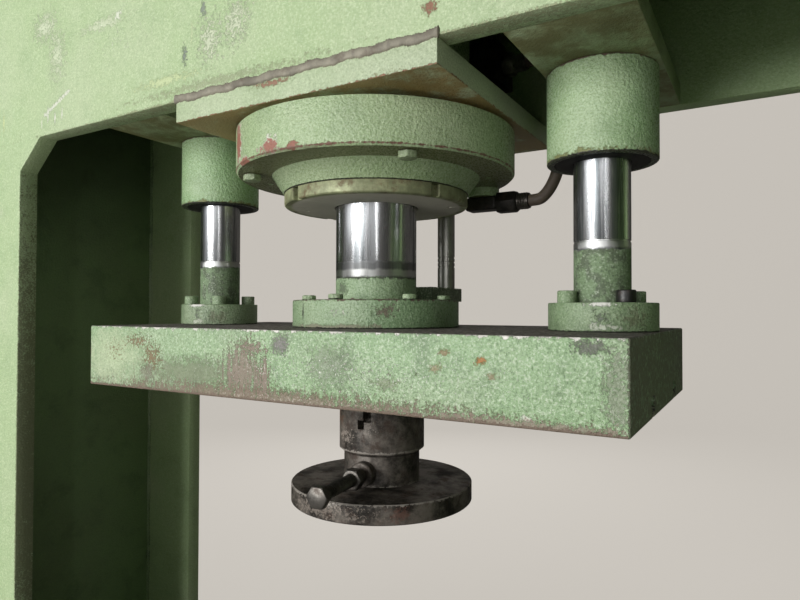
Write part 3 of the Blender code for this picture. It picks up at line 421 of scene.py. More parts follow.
@dataclass(frozen=True)
class Patch:
    """A stain, scuff or chip at one place; some patches are painted shade."""

    centre: Point
    size: Point
    tint: Colour
    strength: float = 0.8
    ragged: float = 2.4
    grain: float = 70.0
    stretch: Point = EVEN
    soft: float = 0.6
    specks: float = 2.6
    cover: float = 0.95

    def mask(self, graph: Graph) -> Wire:
        """Work out where this patch shows.

        Args:
            graph: the material's graph.

        Returns:
            The share of the surface that it covers.
        """
        rag = graph.noise(self.grain, 4, 0.7, self.stretch)
        level = graph.reach(self.centre, self.size) + (rag - 0.5) * self.ragged
        if self.specks:
            level = level + (graph.noise(CHIP_WAVES, 3, 0.75) - 0.5) * self.specks
        return graph.band(level, self.cover, self.cover - self.soft) * self.strength


def crumbs(centre: Point, size: Point, tint: Colour, strength: float, ragged: float,
           grain: float, cover: float, soft: float = 0.4, specks: float = 4.0) -> Patch:
    """Patch that has fallen apart into specks.

    Args:
        centre, size, tint, strength, ragged, grain: as in a patch.
        cover: how much of the place the specks take, lower for fewer.
        soft: how blurred their edges are.
        specks: how strongly they break the patch up.

    Returns:
        The patch.
    """
    return Patch(centre, size, tint, strength, ragged, grain, EVEN, soft, specks, cover)


def wear(graph: Graph, colour: Wire, marks: Sequence[Union[Patch, Edge]]) -> tuple[Wire, Value]:
    """Lay patches and worn edges over a colour, one after another.

    Args:
        graph: the material's graph.
        colour: what they lie on.
        marks: the patches and edges.

    Returns:
        The colour with them, and how far each point is covered by wear and painted shade.
    """
    worn: Value = 0.0
    for mark in marks:
        mask = mark.mask(graph)
        colour = graph.mix(mask, colour, mark.tint)
        worn = graph.maths("MAXIMUM", worn, mask)
    return colour, worn


@dataclass(frozen=True)
class Enamel:
    """Hammered machine enamel with flecks, dust, dirt, chips, stains and painted shade."""

    name: str
    coat: Colour = paint(172, 196, 148)
    deep: Colour = paint(118, 142, 100)
    pale: Colour = paint(212, 224, 192)
    dusty: Colour = paint(196, 204, 176)
    fleck: float = 0.5
    dust: float = 0.35
    dirt: float = 0.3
    edges: tuple[Edge, ...] = ()
    patches: tuple[Patch, ...] = ()
    top: Colour | None = None
    under: Colour | None = None
    under_from: float = 0.36
    roughness: float = 0.4
    relief: float = 0.0032
    dust_waves: float = 3.1
    dirt_waves: float = 11
    stain_waves: float = 14
    scuff_waves: float = 120
    relief_waves: float = 185

    def material(self) -> bpy.types.Material:
        """Make the enamel: dust, dirt, flecks, then wear and painted shade, then tops and
        undersides.

        Returns:
            The material.
        """
        graph = Graph(self.name)
        grain = graph.noise(GRAIN_WAVES, 3, 0.8)
        dusted = graph.band(graph.noise(self.dust_waves, 4, 0.6), 0.42, 0.66)
        soiled = graph.band(graph.noise(self.dirt_waves, 6, 0.66), 0.5, 0.7)
        colour = graph.mix(dusted * self.dust, self.coat, self.dusty)
        colour = graph.mix(soiled * self.dirt, colour, self.deep)
        colour = graph.mix(graph.band(grain, 0.53, 0.62) * self.fleck, colour, self.pale)
        colour = graph.mix(graph.band(grain, 0.47, 0.37) * self.fleck, colour, self.deep)
        colour, worn = wear(graph, colour, (*self.patches, *self.edges))
        flat: Value = 0.0
        if self.top:
            flat = graph.band(graph.facing(), *TOP)
            scuffed = graph.band(graph.noise(self.scuff_waves, 4, 0.8), 0.4, 0.66)
            colour = graph.mix(flat, colour, graph.mix(scuffed, self.top, BARE))
        # Faces that look down take the under tone: stains on some pieces, painted shade on others.
        if self.under:
            stained = graph.band(graph.noise(self.stain_waves, 6, 0.7),
                                 self.under_from, self.under_from + 0.22)
            tone = graph.mix(stained * 0.9, colour, self.under)
            colour = graph.mix(graph.band(graph.facing(), *UNDERSIDE), colour, tone)
        height = graph.noise(self.relief_waves, 3, 0.6) * 0.75 + grain * 0.4 - worn * 0.4
        rough = self.roughness + (grain - 0.5) * 0.3 + worn * 0.22 + flat * 0.3
        return graph.finish(colour, rough, 0.0, height, self.relief, 0.9)


@dataclass(frozen=True)
class Metal:
    """Bare or oiled steel and bronze, with clouds, scratches, turning rings and patches of stain
    and of painted shade.
    """

    name: str
    bright: Colour = paint(170, 168, 164)
    dull: Colour = paint(96, 92, 86)
    stain: Colour = paint(72, 56, 44)
    gloss: float = 0.32
    metallic: float = 0.9
    staining: float = 0.4
    rings: float = 0.0
    shine: float = 0.5
    stretch: Point = EVEN
    patches: tuple[Patch, ...] = ()
    edges: tuple[Edge, ...] = ()
    relief: float = 0.0009
    cloud_waves: float = 18
    stain_waves: float = 31
    fine_waves: float = 190

    def material(self) -> bpy.types.Material:
        """Make the metal: clouds, stains and scratches, then wear, painted shade and turning
        rings.

        Returns:
            The material.
        """
        graph = Graph(self.name)
        cloud = graph.noise(self.cloud_waves, 6, 0.7, self.stretch)
        fine = graph.noise(self.fine_waves, 4, 0.75, self.stretch)
        colour = graph.mix(graph.band(cloud, 0.36, 0.64), self.bright, self.dull)
        stained = graph.noise(self.stain_waves, 6, 0.72)
        stained = graph.band(stained, 0.5, 0.66) * self.staining
        colour = graph.mix(stained, colour, self.stain)
        colour = graph.mix(graph.band(fine, 0.55, 0.72) * 0.35, colour, self.bright)
        colour, worn = wear(graph, colour, (*self.patches, *self.edges))
        height = cloud * 0.5 + fine * 0.5
        if self.rings:
            wave = graph.maths("SINE", graph.along[Axis.Z.value] * self.rings)
            height = height + wave * 0.25
        rough = self.gloss + (cloud - 0.4) * 0.4 + stained * 0.3 + worn * 0.2
        sheen = self.metallic - stained * 0.6 - worn * 0.5
        return graph.finish(colour, rough, graph.maths("MAXIMUM", sheen, 0.0), height,
                            self.relief, 0.5, Specular_IOR_Level=self.shine)


@dataclass(frozen=True)
class Chrome:
    """Hard chrome with painted reflection and shade streaks, a dull band low down and a painted
    root.
    """

    name: str
    painted_to: float = 1.535
    dull_to: float = 1.568
    streaks: float = 0.5
    clean: Colour = paint(226, 227, 228)
    reflection_streak_tone: Colour = paint(96, 99, 102)
    hazy: Colour = paint(150, 154, 158)
    shaded: Colour = paint(66, 74, 76)
    dull: Colour = paint(92, 92, 90)
    rubbed: Colour = paint(225, 225, 222)
    root: Colour = paint(118, 140, 104)
    root_blot: Colour = paint(78, 84, 68)
    root_deep: Colour = paint(60, 64, 52)
    root_pale: Colour = paint(182, 192, 172)
    relief: float = 0.0012
    hair_stretch: Point = (1, 1, 0.02)
    streak_stretch: Point = (1, 1, 0.035)
    streak_waves: float = 62
    shadow_waves: float = 30
    rim_waves: float = 48
    blot_waves: float = 40

    def plated(self, graph: Graph, height: Wire, streak: Wire, hair: Wire) -> tuple[Wire, Wire]:
        """Colour of the bare chrome, with the dull band and the rubbed ring above the paint.

        Args:
            graph: the material's graph.
            height: how high the surface lies.
            streak, hair: the broad and the fine upright streaks.

        Returns:
            The colour, and where it is dull.
        """
        # The broad upright streaks paint reflections into the colour; the shaded streaks paint
        # shadow.
        shade = graph.mix(graph.band(streak, 0.42, 0.62) * self.streaks, self.clean,
                          self.reflection_streak_tone)
        shade = graph.mix(graph.band(hair, 0.5, 0.7) * 0.4, shade, self.hazy)
        shadow = graph.noise(self.shadow_waves, 3, 0.6, self.hair_stretch)
        shade = graph.mix(graph.band(shadow, 0.56, 0.64) * 0.7, shade, self.shaded)
        low = graph.band(height + (streak - 0.5) * 0.03, self.dull_to, self.dull_to - 0.006)
        shade = graph.mix(low * 0.65, shade, self.dull)
        ring = graph.band(graph.maths("ABSOLUTE", height - (self.painted_to + 0.008)
                                      + (streak - 0.5) * 0.012), 0.009, 0.004)
        return graph.mix(ring * 0.8, shade, self.rubbed), low

    def material(self) -> bpy.types.Material:
        """Make the chrome and its painted root.

        Returns:
            The material.
        """
        graph = Graph(self.name)
        height = graph.along[Axis.Z.value]
        streak = graph.noise(self.streak_waves, 5, 0.72, self.streak_stretch)
        hair = graph.noise(GRAIN_WAVES, 3, 0.7, self.hair_stretch)
        shade, low = self.plated(graph, height, streak, hair)
        grain = graph.noise(CHIP_WAVES, 3, 0.8)
        edge = height + (graph.noise(self.rim_waves, 4, 0.7) - 0.5) * 0.02
        coated = graph.band(edge, self.painted_to + 0.001, self.painted_to - 0.002)
        blot = graph.band(graph.noise(self.blot_waves, 4, 0.7), 0.42, 0.6)
        green = graph.mix(blot * 0.7, self.root, self.root_blot)
        green = graph.mix(graph.band(grain, 0.52, 0.66) * 0.7, green, self.root_deep)
        green = graph.mix(graph.band(grain, 0.44, 0.34) * 0.7, green, self.root_pale)
        rough = 0.1 + self.streaks * 0.15 + graph.band(streak, 0.4, 0.7) * 0.16
        rough = rough + low * 0.12 + coated * 0.28
        return graph.finish(graph.mix(coated, shade, green), rough, 1.0 - coated * 0.95,
                            hair * 0.1 + coated * grain, self.relief, 0.35)


@dataclass(frozen=True)
class Rubber:
    """Hose cover or seal, dusty where it faces up."""

    name: str
    cover: Colour = paint(92, 80, 70)
    dust: Colour = paint(140, 126, 110)
    relief: float = 0.0006
    grain_waves: float = 140

    def material(self) -> bpy.types.Material:
        """Make the rubber, with dust where it faces up.

        Returns:
            The material.
        """
        graph = Graph(self.name)
        grain = graph.noise(self.grain_waves, 4, 0.7)
        up = graph.band(graph.facing() + (grain - 0.5), -0.2, 0.9)
        colour = graph.mix(up * 0.7, self.cover, self.dust)
        return graph.finish(colour, 0.6 + (grain - 0.5) * 0.3, 0.0, grain, self.relief, 0.4)


@dataclass(frozen=True)
class Backing:
    """Plain pale surface of the floor and the wall round it."""

    name: str
    tone: Colour = paint(176, 173, 168)
    cloud_tone: Colour = paint(170, 167, 162)
    near_tone: Colour = paint(226, 220, 211)
    far_tone: Colour = paint(160, 158, 153)
    dim_tone: Colour = paint(74, 72, 68)
    lit_tone: Colour = (1.42, 1.44, 1.46, 1.0)
    glow: float = 0.7
    fade: tuple[float, float] = (-7.0, 3.0)
    lit_deep: tuple[float, float] = (-3.5, -5.5)
    lit_across: tuple[float, float] = (6.5, 3.5)
    lit_high: tuple[float, float] = (0.4, 1.3)

    def material(self) -> bpy.types.Material:
        """Make a surface that the camera sees pale and gloss sees as a room with a window.

        Returns:
            The material.
        """
        graph = Graph(self.name)
        across, deep, high = graph.along
        colour = graph.mix(graph.noise(0.8, 3), self.tone, self.cloud_tone)
        material = graph.finish(colour, 0.85)
        output = graph.tree.nodes["Material Output"]
        seen = graph.node("ShaderNodeLightPath").outputs
        camera, mirror = Wire(graph, seen["Is Camera Ray"]), Wire(graph, seen["Is Glossy Ray"])
        rays = graph.maths("MAXIMUM", camera * self.glow, mirror * 0.9)
        rays = graph.maths("MAXIMUM", rays, Wire(graph, seen["Is Transmission Ray"]))
        plain = graph.mix(graph.band(deep, *self.fade), self.far_tone, self.near_tone)
        front = graph.band(deep, *self.lit_deep) * graph.band(across, *self.lit_across)
        front = front * graph.band(high, *self.lit_high)
        room = graph.mix(front, self.dim_tone, self.lit_tone)
        glow = graph.mix(camera, room, plain)
        light = graph.node("ShaderNodeEmission", values={"Color": glow, "Strength": 1.0})
        both = graph.node("ShaderNodeMixShader", values={
            0: rays, 1: Wire(graph, output.inputs[0].links[0].from_socket),
            2: Wire(graph, light.outputs[0])})
        graph.tree.links.new(both.outputs[0], output.inputs[0])
        return material


BRONZE = Metal("bearing bronze", paint(176, 138, 84), paint(132, 100, 60))
SEAL = Rubber("seal rubber", BLACK, SOOT)


# ---------------------------------------------------------------- modelling kit

# Points nearer than MERGE are one, and a cutter reaches PAST the faces that it cuts.
MERGE = 1e-6
PAST = 0.01
HEXAGON = 6


def clear_selection() -> None:
    """Leave edit mode and deselect every object."""
    active = bpy.context.view_layer.objects.active
    if active and active.mode != "OBJECT":
        bpy.ops.object.mode_set(mode="OBJECT")
    bpy.ops.object.select_all(action="DESELECT")


def select_only(piece: Piece) -> None:
    """Select one piece and make it the active one.

    Args:
        piece: the object.
    """
    clear_selection()
    piece.select_set(True)
    bpy.context.view_layer.objects.active = piece


def settle(piece: Piece, name: str) -> Piece:
    """Name a piece and write its place and turn into its mesh.

    Args:
        piece: the object.
        name: its name.

    Returns:
        The same piece.
    """
    select_only(piece)
    bpy.ops.object.transform_apply(location=True, rotation=True, scale=True)
    piece.name = piece.data.name = name
    return piece


def block(name: str, low: Point, high: Point) -> Piece:
    """Square block between two corners.

    Args:
        name: the piece's name.
        low, high: its lowest and highest corners.

    Returns:
        The block.
    """
    clear_selection()
    size = [b - a for a, b in zip(low, high)]
    centre = [(a + b) / 2 for a, b in zip(low, high)]
    bpy.ops.mesh.primitive_cube_add(size=1.0, location=centre)
    bpy.ops.transform.resize(value=size, center_override=centre)
    return settle(bpy.context.object, name)


def turned(name: str, centre: tuple[float, float], profile: Profile, sides: int = 96,
           open_top: bool = False) -> Piece:
    """Turned piece from rings drawn up one after another along an upright axis.

    Args:
        name: the piece's name.
        centre: the axis in X and Y.
        profile: radius and height of each ring; a loop where the last is the first.
        sides: flats round the axis.
        open_top: whether the last ring stays open.

    Returns:
        The turned piece.
    """
    clear_selection()
    hollow = profile[0] == profile[-1]
    radius, height = profile[0]
    bpy.ops.mesh.primitive_circle_add(
        vertices=sides, radius=radius, location=(*centre, height),
        fill_type="NOTHING" if hollow else "NGON")
    bpy.ops.object.mode_set(mode="EDIT")
    bpy.ops.mesh.select_all(action="SELECT")
    for ring_radius, ring_height in profile[1:]:
        bpy.ops.mesh.extrude_region_move(
            TRANSFORM_OT_translate={"value": (0, 0, ring_height - height)})
        share = ring_radius / radius
        if share != 1:
            bpy.ops.transform.resize(value=(share, share, 1),
                                     center_override=(*centre, ring_height))
        radius, height = ring_radius, ring_height
    if open_top:
        bpy.ops.mesh.delete(type="ONLY_FACE")
    bpy.ops.mesh.select_all(action="SELECT")
    bpy.ops.mesh.remove_doubles(threshold=MERGE)
    bpy.ops.mesh.normals_make_consistent(inside=False)
    bpy.ops.object.mode_set(mode="OBJECT")
    return settle(bpy.context.object, name)


def prism(name: str, outline: Profile, axis: Axis, low: float, high: float) -> Piece:
    """Plate of any outline, drawn from one face through its thickness.

    Args:
        name: the piece's name.
        outline: corners in the two other directions, in order.
        axis: the direction of its thickness, Y or Z.
        low, high: where it starts and ends along that direction.

    Returns:
        The plate.
    """
    clear_selection()
    bpy.ops.mesh.primitive_circle_add(vertices=len(outline), radius=1.0, fill_type="NGON")
    piece = bpy.context.object
    for vertex, (u, v) in zip(piece.data.vertices, outline):
        vertex.co = (u, low, v) if axis is Axis.Y else (u, v, low)
    bpy.ops.object.mode_set(mode="EDIT")
    bpy.ops.mesh.select_all(action="SELECT")
    rise = high - low
    step = (0, rise, 0) if axis is Axis.Y else (0, 0, rise)
    bpy.ops.mesh.extrude_region_move(TRANSFORM_OT_translate={"value": step})
    bpy.ops.mesh.select_all(action="SELECT")
    bpy.ops.mesh.normals_make_consistent(inside=False)
    bpy.ops.object.mode_set(mode="OBJECT")
    return settle(piece, name)


def apply_modifier(piece: Piece, kind: str, **settings: Any) -> Piece:
    """Add one modifier and apply it.

    Args:
        piece: the object.
        kind: the modifier's type.
        settings: its properties.

    Returns:
        The same piece.
    """
    select_only(piece)
    modifier = piece.modifiers.new(kind.title(), kind)
    for key, setting in settings.items():
        setattr(modifier, key, setting)
    bpy.ops.object.modifier_apply(modifier=modifier.name)
    return piece


def combine(piece: Piece, other: Piece, operation: str = "DIFFERENCE") -> Piece:
    """Cut, fuse or intersect one solid with another, which is used up.

    Args:
        piece: the solid that stays.
        other: the solid that is used.
        operation: DIFFERENCE, UNION or INTERSECT.

    Returns:
        The piece.
    """
    apply_modifier(piece, "BOOLEAN", operation=operation, object=other, solver="EXACT")
    bpy.data.objects.remove(other, do_unlink=True)
    return piece


def drill(piece: Piece, centre: tuple[float, float], radius: float, low: float,
          high: float, sides: int = 48) -> Piece:
    """Drill an upright round hole.

    Args:
        piece: the solid.
        centre: the hole's axis in X and Y.
        radius: its radius.
        low, high: its ends, clear of the faces where it goes through.
        sides: flats round it.

    Returns:
        The piece.
    """
    return combine(piece, turned("drill", centre, ((radius, low), (radius, high)), sides))


def round_edges(piece: Piece, width: float = 0.0012, segments: int = 2,
                angle: float = 32.0) -> Piece:
    """Break the sharp edges and shade the rest smooth.

    Args:
        piece: the object.
        width: size of the broken edge, 0 for none.
        segments: steps round it.
        angle: degrees past which an edge is sharp.

    Returns:
        The piece.
    """
    if width:
        apply_modifier(piece, "BEVEL", width=width, segments=segments,
                       limit_method="ANGLE", angle_limit=math.radians(angle),
                       use_clamp_overlap=True)
    select_only(piece)
    bpy.ops.object.shade_smooth_by_angle(angle=math.radians(angle))
    return piece


def twin(piece: Piece, name: str, matrix: Matrix) -> Piece:
    """Copy a piece with its own mesh and move the copy.

    Args:
        piece: the piece that is repeated.
        name: the copy's name.
        matrix: how the copy moves.

    Returns:
        The copy.
    """
    clear_selection()
    copy = piece.copy()
    copy.data = piece.data.copy()
    bpy.context.scene.collection.objects.link(copy)
    copy.matrix_world = matrix
    return settle(copy, name)


def moved(piece: Piece, matrix: Matrix) -> Piece:
    """Move a piece by a matrix and write it into the mesh."""
    piece.matrix_world = matrix
    return settle(piece, piece.name)


def hex_head(name: str, across: float, height: float, washer: float = 0.0) -> Piece:
    """Chamfered hexagon head that stands on the origin and points up.

    Args:
        name: the piece's name.
        across: width over the flats.
        height: head height.
        washer: height of the round washer face below it.

    Returns:
        The head.
    """
    corner = across / math.sqrt(3)
    outside, shoulder, flat, face = corner * 1.02, height * 0.84, across * 0.47, across * 0.48
    head = turned(name, (0, 0), ((corner, washer), (corner, height)), HEXAGON)
    dome = turned("dome", (0, 0), ((outside, -0.001), (outside, shoulder),
                                   (flat, height + 0.00001)), 48)
    combine(head, dome, "INTERSECT")
    if washer:
        combine(head, turned("washer", (0, 0), ((face, 0), (face, washer + 0.0004)), 48), "UNION")
    return round_edges(head, width=0.0004, segments=1)


def tube(name: str, route: Sequence[Vector], radius: float, sides: int = 5) -> Piece:
    """Round hose or pipe along a route.

    Args:
        name: the piece's name.
        route: the centre line's points.
        radius: outside radius.
        sides: bevel resolution of its section.

    Returns:
        The tube as a closed mesh.
    """
    clear_selection()
    bpy.ops.curve.primitive_nurbs_path_add()
    piece = bpy.context.object
    curve = piece.data
    curve.splines.clear()
    spline = curve.splines.new("POLY")
    spline.points.add(len(route) - 1)
    for point, place in zip(spline.points, route):
        point.co = (*place, 1.0)
    curve.bevel_depth = radius
    curve.bevel_resolution = sides
    curve.use_fill_caps = True
    bpy.ops.object.convert(target="MESH")
    piece = bpy.context.object
    bpy.ops.object.mode_set(mode="EDIT")
    bpy.ops.mesh.select_all(action="SELECT")
    bpy.ops.mesh.remove_doubles(threshold=MERGE)
    bpy.ops.mesh.normals_make_consistent(inside=False)
    bpy.ops.object.mode_set(mode="OBJECT")
    return round_edges(settle(piece, name), width=0.0)


def eased(points: Sequence[Point], steps: int) -> list[Vector]:
    """Smooth curve through points, with straight runs at both ends.

    Args:
        points: what the curve passes through.
        steps: points to each span.

    Returns:
        The curve's points.
    """
    route = [Vector(points[0])]
    for i in range(1, len(points) - 2):
        before, start, end, after = (Vector(p) for p in points[i - 1:i + 3])
        for step in range(steps):
            t = step / steps
            route.append(0.5 * (2 * start + (end - before) * t
                                + (2 * before - 5 * start + 4 * end - after) * t ** 2
                                + (3 * start - 3 * end + after - before) * t ** 3))
    return route + [Vector(points[-2]), Vector(points[-1])]


def bent(corners: Sequence[Point], radius: float, steps: int) -> list[Vector]:
    """Route of a bent pipe: straight runs with an arc at each corner.

    Args:
        corners: the ends and the corners between them.
        radius: bend radius of the centre line.
        steps: points to each arc.

    Returns:
        The route's points.
    """
    route = [Vector(corners[0])]
    for before, corner, after in zip(corners, corners[1:], corners[2:]):
        middle = Vector(corner)
        back = (Vector(before) - middle).normalized()
        ahead = (Vector(after) - middle).normalized()
        half = back.angle(ahead) / 2
        centre = middle + (back + ahead).normalized() * (radius / math.sin(half))
        start = middle + back * (radius / math.tan(half)) - centre
        end = middle + ahead * (radius / math.tan(half)) - centre
        turn = start.angle(end)
        route += [centre + start * (math.sin((1 - s / steps) * turn) / math.sin(turn))
                  + end * (math.sin(s / steps * turn) / math.sin(turn))
                  for s in range(steps + 1)]
    return route + [Vector(corners[-1])]


def weld_bead(name: str, start: Point, end: Point, radius: float, pitch: float = 0.005,
              flatten: Point = (1, 1, 1), wander: float = 0.12) -> Piece:
    """Rippled weld bead along a straight joint.

    Args:
        name: the piece's name.
        start, end: the joint's ends.
        radius: the bead's radius.
        pitch: length of one ripple.
        flatten: scale of the bead's section in X, Y and Z.
        wander: how far its width and place vary, as a share of the radius.

    Returns:
        The bead.
    """
    clear_selection()
    first, last = Vector(start), Vector(end)
    run = last - first
    count = max(4, round(run.length / pitch))
    blunt, crest, trough, tail = 0.7, 1.06, 0.9, 0.6
    bpy.ops.mesh.primitive_circle_add(
        vertices=12, radius=radius * blunt, location=first,
        rotation=run.to_track_quat("Z", "Y").to_euler(), fill_type="NGON")
    bpy.ops.object.transform_apply(location=False, rotation=True, scale=False)
    bpy.ops.object.mode_set(mode="EDIT")
    bpy.ops.mesh.select_all(action="SELECT")
    girth = blunt
    drift = Vector((0, 0, 0))
    across = Vector((0, 0, 1)) if abs(run.z) < abs(run.x) + abs(run.y) else Vector((1, 0, 0))
    for step in range(1, count + 1):
        swell = 1 + wander * (math.sin(step * 1.7) + math.sin(step * 0.61 + 1.3)) / 1.6
        sway = math.sin(step * 0.37 + 0.4 * math.sin(step * 0.9))
        aside = across * (radius * wander * 1.4 * sway)
        for part, width in ((0.5, crest), (1.0, trough)):
            spot = first + run * ((step - 1 + part) / count)
            wanted = tail if step == count and part == 1.0 else swell * width
            move = run * (0.5 / count) + aside - drift
            drift = aside
            bpy.ops.mesh.extrude_region_move(TRANSFORM_OT_translate={"value": move})
            bpy.ops.transform.resize(value=(wanted / girth,) * 3, center_override=spot + aside)
            girth = wanted
    bpy.ops.mesh.select_all(action="SELECT")
    bpy.ops.transform.resize(value=flatten, center_override=(first + last) / 2)
    bpy.ops.mesh.normals_make_consistent(inside=False)
    bpy.ops.object.mode_set(mode="OBJECT")
    return round_edges(settle(bpy.context.object, name), width=0.0, angle=50)


def upright(centre: Point, turn: float = 0.0, flip: bool = False) -> Matrix:
    """Matrix that turns about Z, may turn upside down, and moves to a place.

    Args:
        centre: where the origin goes.
        turn: degrees about Z.
        flip: whether the piece hangs down.

    Returns:
        The matrix.
    """
    matrix = Matrix.Translation(centre) @ Matrix.Rotation(math.radians(turn), 4, "Z")
    return matrix @ Matrix.Rotation(math.pi, 4, "X") if flip else matrix


def sideways(centre: Point, turn: float) -> Matrix:
    """Matrix that lays an upright piece flat, pointing out at an angle in degrees."""
    return (Matrix.Translation(centre) @ Matrix.Rotation(math.radians(turn), 4, "Z")
            @ Matrix.Rotation(math.pi / 2, 4, "Y"))


def on_circle(radius: float, degrees: float, height: float,
              centre: tuple[float, float] = (0, 0)) -> Point:
    """Point on a circle about an upright axis."""
    turn = math.radians(degrees)
    return (centre[0] + radius * math.cos(turn), centre[1] + radius * math.sin(turn), height)


class Shop:
    """Where pieces get their finish, body and the node they stand for."""

    def __init__(self, frame: dict[str, Any]) -> None:
        """Keep the frame's nodes and the finishes made so far."""
        self.nodes = frame["nodes"]
        self.made: dict[str, bpy.types.Material] = {}

    def finish(self, finish: Any) -> bpy.types.Material:
        """Material of a finish, made once.

        Args:
            finish: the finish.

        Returns:
            Its material.
        """
        if finish.name not in self.made:
            self.made[finish.name] = finish.material()
        return self.made[finish.name]

    def fit(self, piece: Piece, finish: Any, slot: Slot, body: Body, *nodes: str) -> None:
        """Dress a finished piece and fit it to its body.

        Args:
            piece: the object.
            finish: its finish.
            slot: not used.
            body: the body that it rides on.
            nodes: CAD nodes that it stands for.
        """
        piece.data.materials.clear()
        piece.data.materials.append(self.finish(finish))
        for face in piece.data.polygons:
            face.material_index = 0
        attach(piece, body.value)
        if nodes:
            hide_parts(*nodes)
        LOG.info("%s: %d faces on %s", piece.name, len(piece.data.polygons), body.value)

    def dress(self, node: str, finish: Any) -> None:
        """Give a CAD node that stays a better finish.

        Args:
            node: the node's name.
            finish: its finish.
        """
        for slot in self.nodes[node].material_slots:
            slot.material = self.finish(finish)
        LOG.info("%s: CAD node dressed", node)


# ---------------------------------------------------------------- sub-assemblies


@dataclass
class Assembly:
    """Part of the press that models its pieces and has the shop dress them."""

    shop: Shop


@dataclass
class PressFrame(Assembly):
    """The two portal plates, the column webs, the crown's top and the feet."""

    half_width: float = 1.199
    plate_out: float = 0.265
    plate_in: float = 0.225
    plate_low: float = 0.0403
    plate_high: float = 2.710
    window: float = 0.807
    window_low: float = 0.4797
    window_high: float = 1.860
    corner: tuple[float, float] = (0.080, 0.068)
    web: tuple[float, float] = (0.988, 1.018)
    web_depth: float = 0.2247
    crown_high: float = 2.7403
    foot: Point = (1.239, 0.305, 0.040)
    foot_in: float = 0.767
    pipes: tuple[Point, ...] = ((0.186, 0.115, 0.0095), (0.186, 0.175, 0.0095))

    def window_outline(self) -> list[tuple[float, float]]:
        """Corners of the chamfered window.

        Returns:
            X and Z of each, in order.
        """
        x, low, high = self.window, self.window_low, self.window_high
        cx, cz = self.corner
        return [(-x + cx, low), (x - cx, low), (x, low + cz), (x, high - cz),
                (x - cx, high), (-x + cx, high), (-x, high - cz), (-x, low + cz)]

    def front_enamel(self) -> Enamel:
        """Finish of the front plate: crown scuffs, chalky scratches, painted shade in the window.

        Returns:
            The enamel.
        """
        y, pale = -self.plate_out, paint(206, 214, 186)
        marks = (
            Patch((-0.252, y, 1.943), (0.009, 0.02, 0.020), paint(120, 128, 122), 0.85, 3.0, 160),
            Patch((-0.202, y, 2.018), (0.007, 0.02, 0.022), paint(124, 130, 126), 0.8, 3.0, 160),
            Patch((-0.232, y, 1.980), (0.003, 0.02, 0.030), paint(208, 220, 178), 0.6, 1.6, 160),
            crumbs((-0.711, y, 2.103), (0.050, 0.05, 0.036), pale, 0.8, 3.4, 90, 0.8),
            crumbs((-0.663, y, 2.034), (0.036, 0.05, 0.070), pale, 0.7, 3.4, 90, 0.7),
            Patch((-0.500, y, 2.060), (0.080, 0.05, 0.012), pale, 0.7, 3.4, 90),
            Patch((-0.449, y, 2.067), (0.012, 0.05, 0.012), CHALK, 0.8, 3.0, 120),
            crumbs((-0.185, y, 1.958), (0.036, 0.05, 0.050), pale, 0.9, 4.0, 110, 0.65),
            crumbs((-0.120, y, 1.975), (0.036, 0.05, 0.050), pale, 0.9, 4.0, 110, 0.65),
            Patch((-0.305, y, 1.905), (0.090, 0.05, 0.010), paint(208, 220, 170), 0.7, 4.0, 110),
            Patch((-0.696, y, 1.903), (0.004, 0.02, 0.022), CHALK, 1.0, 0.8, 120),
            Patch((-0.669, y, 1.892), (0.004, 0.02, 0.016), CHALK, 1.0, 0.8, 120),
            Patch((-0.642, y, 1.898), (0.004, 0.02, 0.016), CHALK, 0.9, 0.8, 120),
            Patch((-0.720, y, 1.887), (0.003, 0.02, 0.014), CHALK, 0.8, 0.8, 120),
            Patch((-0.881, y, 1.912), (0.004, 0.02, 0.030), paint(208, 218, 160), 0.7, 1.6, 90),
            *(Patch((-0.705 + 0.0085 * dab, y, 1.906 + 0.0037 * dab), (0.009, 0.02, 0.006),
                    CHALK, 0.9, 0.8, 120) for dab in range(11)),
            Patch((0.262, y, 1.903), (0.014, 0.02, 0.012), PRIMER, 0.9, 2.4, 110),
            Patch((-0.45, y, 2.02), (0.55, 0.05, 0.20), CHALK, 0.7, 2.4, 130,
                  (1, 1, 0.45), 0.2, 4.0, -0.45),
            Patch((-0.170, y, 1.880), (0.260, 0.05, 0.010), BROWN, 0.35, 3.4, 90),
            Patch((-0.955, y, 1.500), (0.060, 0.05, 0.500), pale, 0.5, 3.6, 24),
            Patch((0.0, y, 1.860), (0.74, 0.05, 0.0045), paint(150, 150, 118), 0.7, 2.4, 90),
            # Darker strips over the window's side faces: painted shade.
            *(Patch((side.value * self.window, y, 1.1), (0.0035, 0.28, 0.72),
                    paint(112, 116, 86), 0.8, 2.0, 60) for side in Side),
        )
        edges = (Edge(Axis.Z, self.plate_high, 0.012, PRIMER, 0.25, 3.0, 60),
                 Edge(Axis.Z, self.plate_low, 0.05, BROWN, 0.45, 3.0, 40))
        return Enamel("crown enamel", coat=paint(172, 194, 146), deep=paint(144, 170, 122),
                      pale=paint(216, 228, 194), dusty=paint(192, 203, 170), fleck=0.5,
                      dust=0.4, dirt=0.4, edges=edges, patches=marks, roughness=0.5)

    def inner_enamel(self) -> Enamel:
        """Finish of the inside faces: deeper green with dirt and a painted shadow in the crown.

        Returns:
            The enamel.
        """
        return Enamel("inner enamel", coat=paint(112, 138, 92), deep=paint(74, 96, 60),
                      pale=paint(128, 150, 104), dusty=paint(104, 116, 84), fleck=0.25,
                      dust=0.4, dirt=0.5, roughness=0.55, under=paint(104, 84, 52),
                      # Broad black patch round the crown's inside: painted shadow on the column
                      # webs.
                      patches=(Patch((0.0, 0.0, 2.0), (1.3, 0.5, 0.40), BLACK, 0.6, 0.4, 5,
                                     EVEN, 0.7, 0.0, 1.3),))

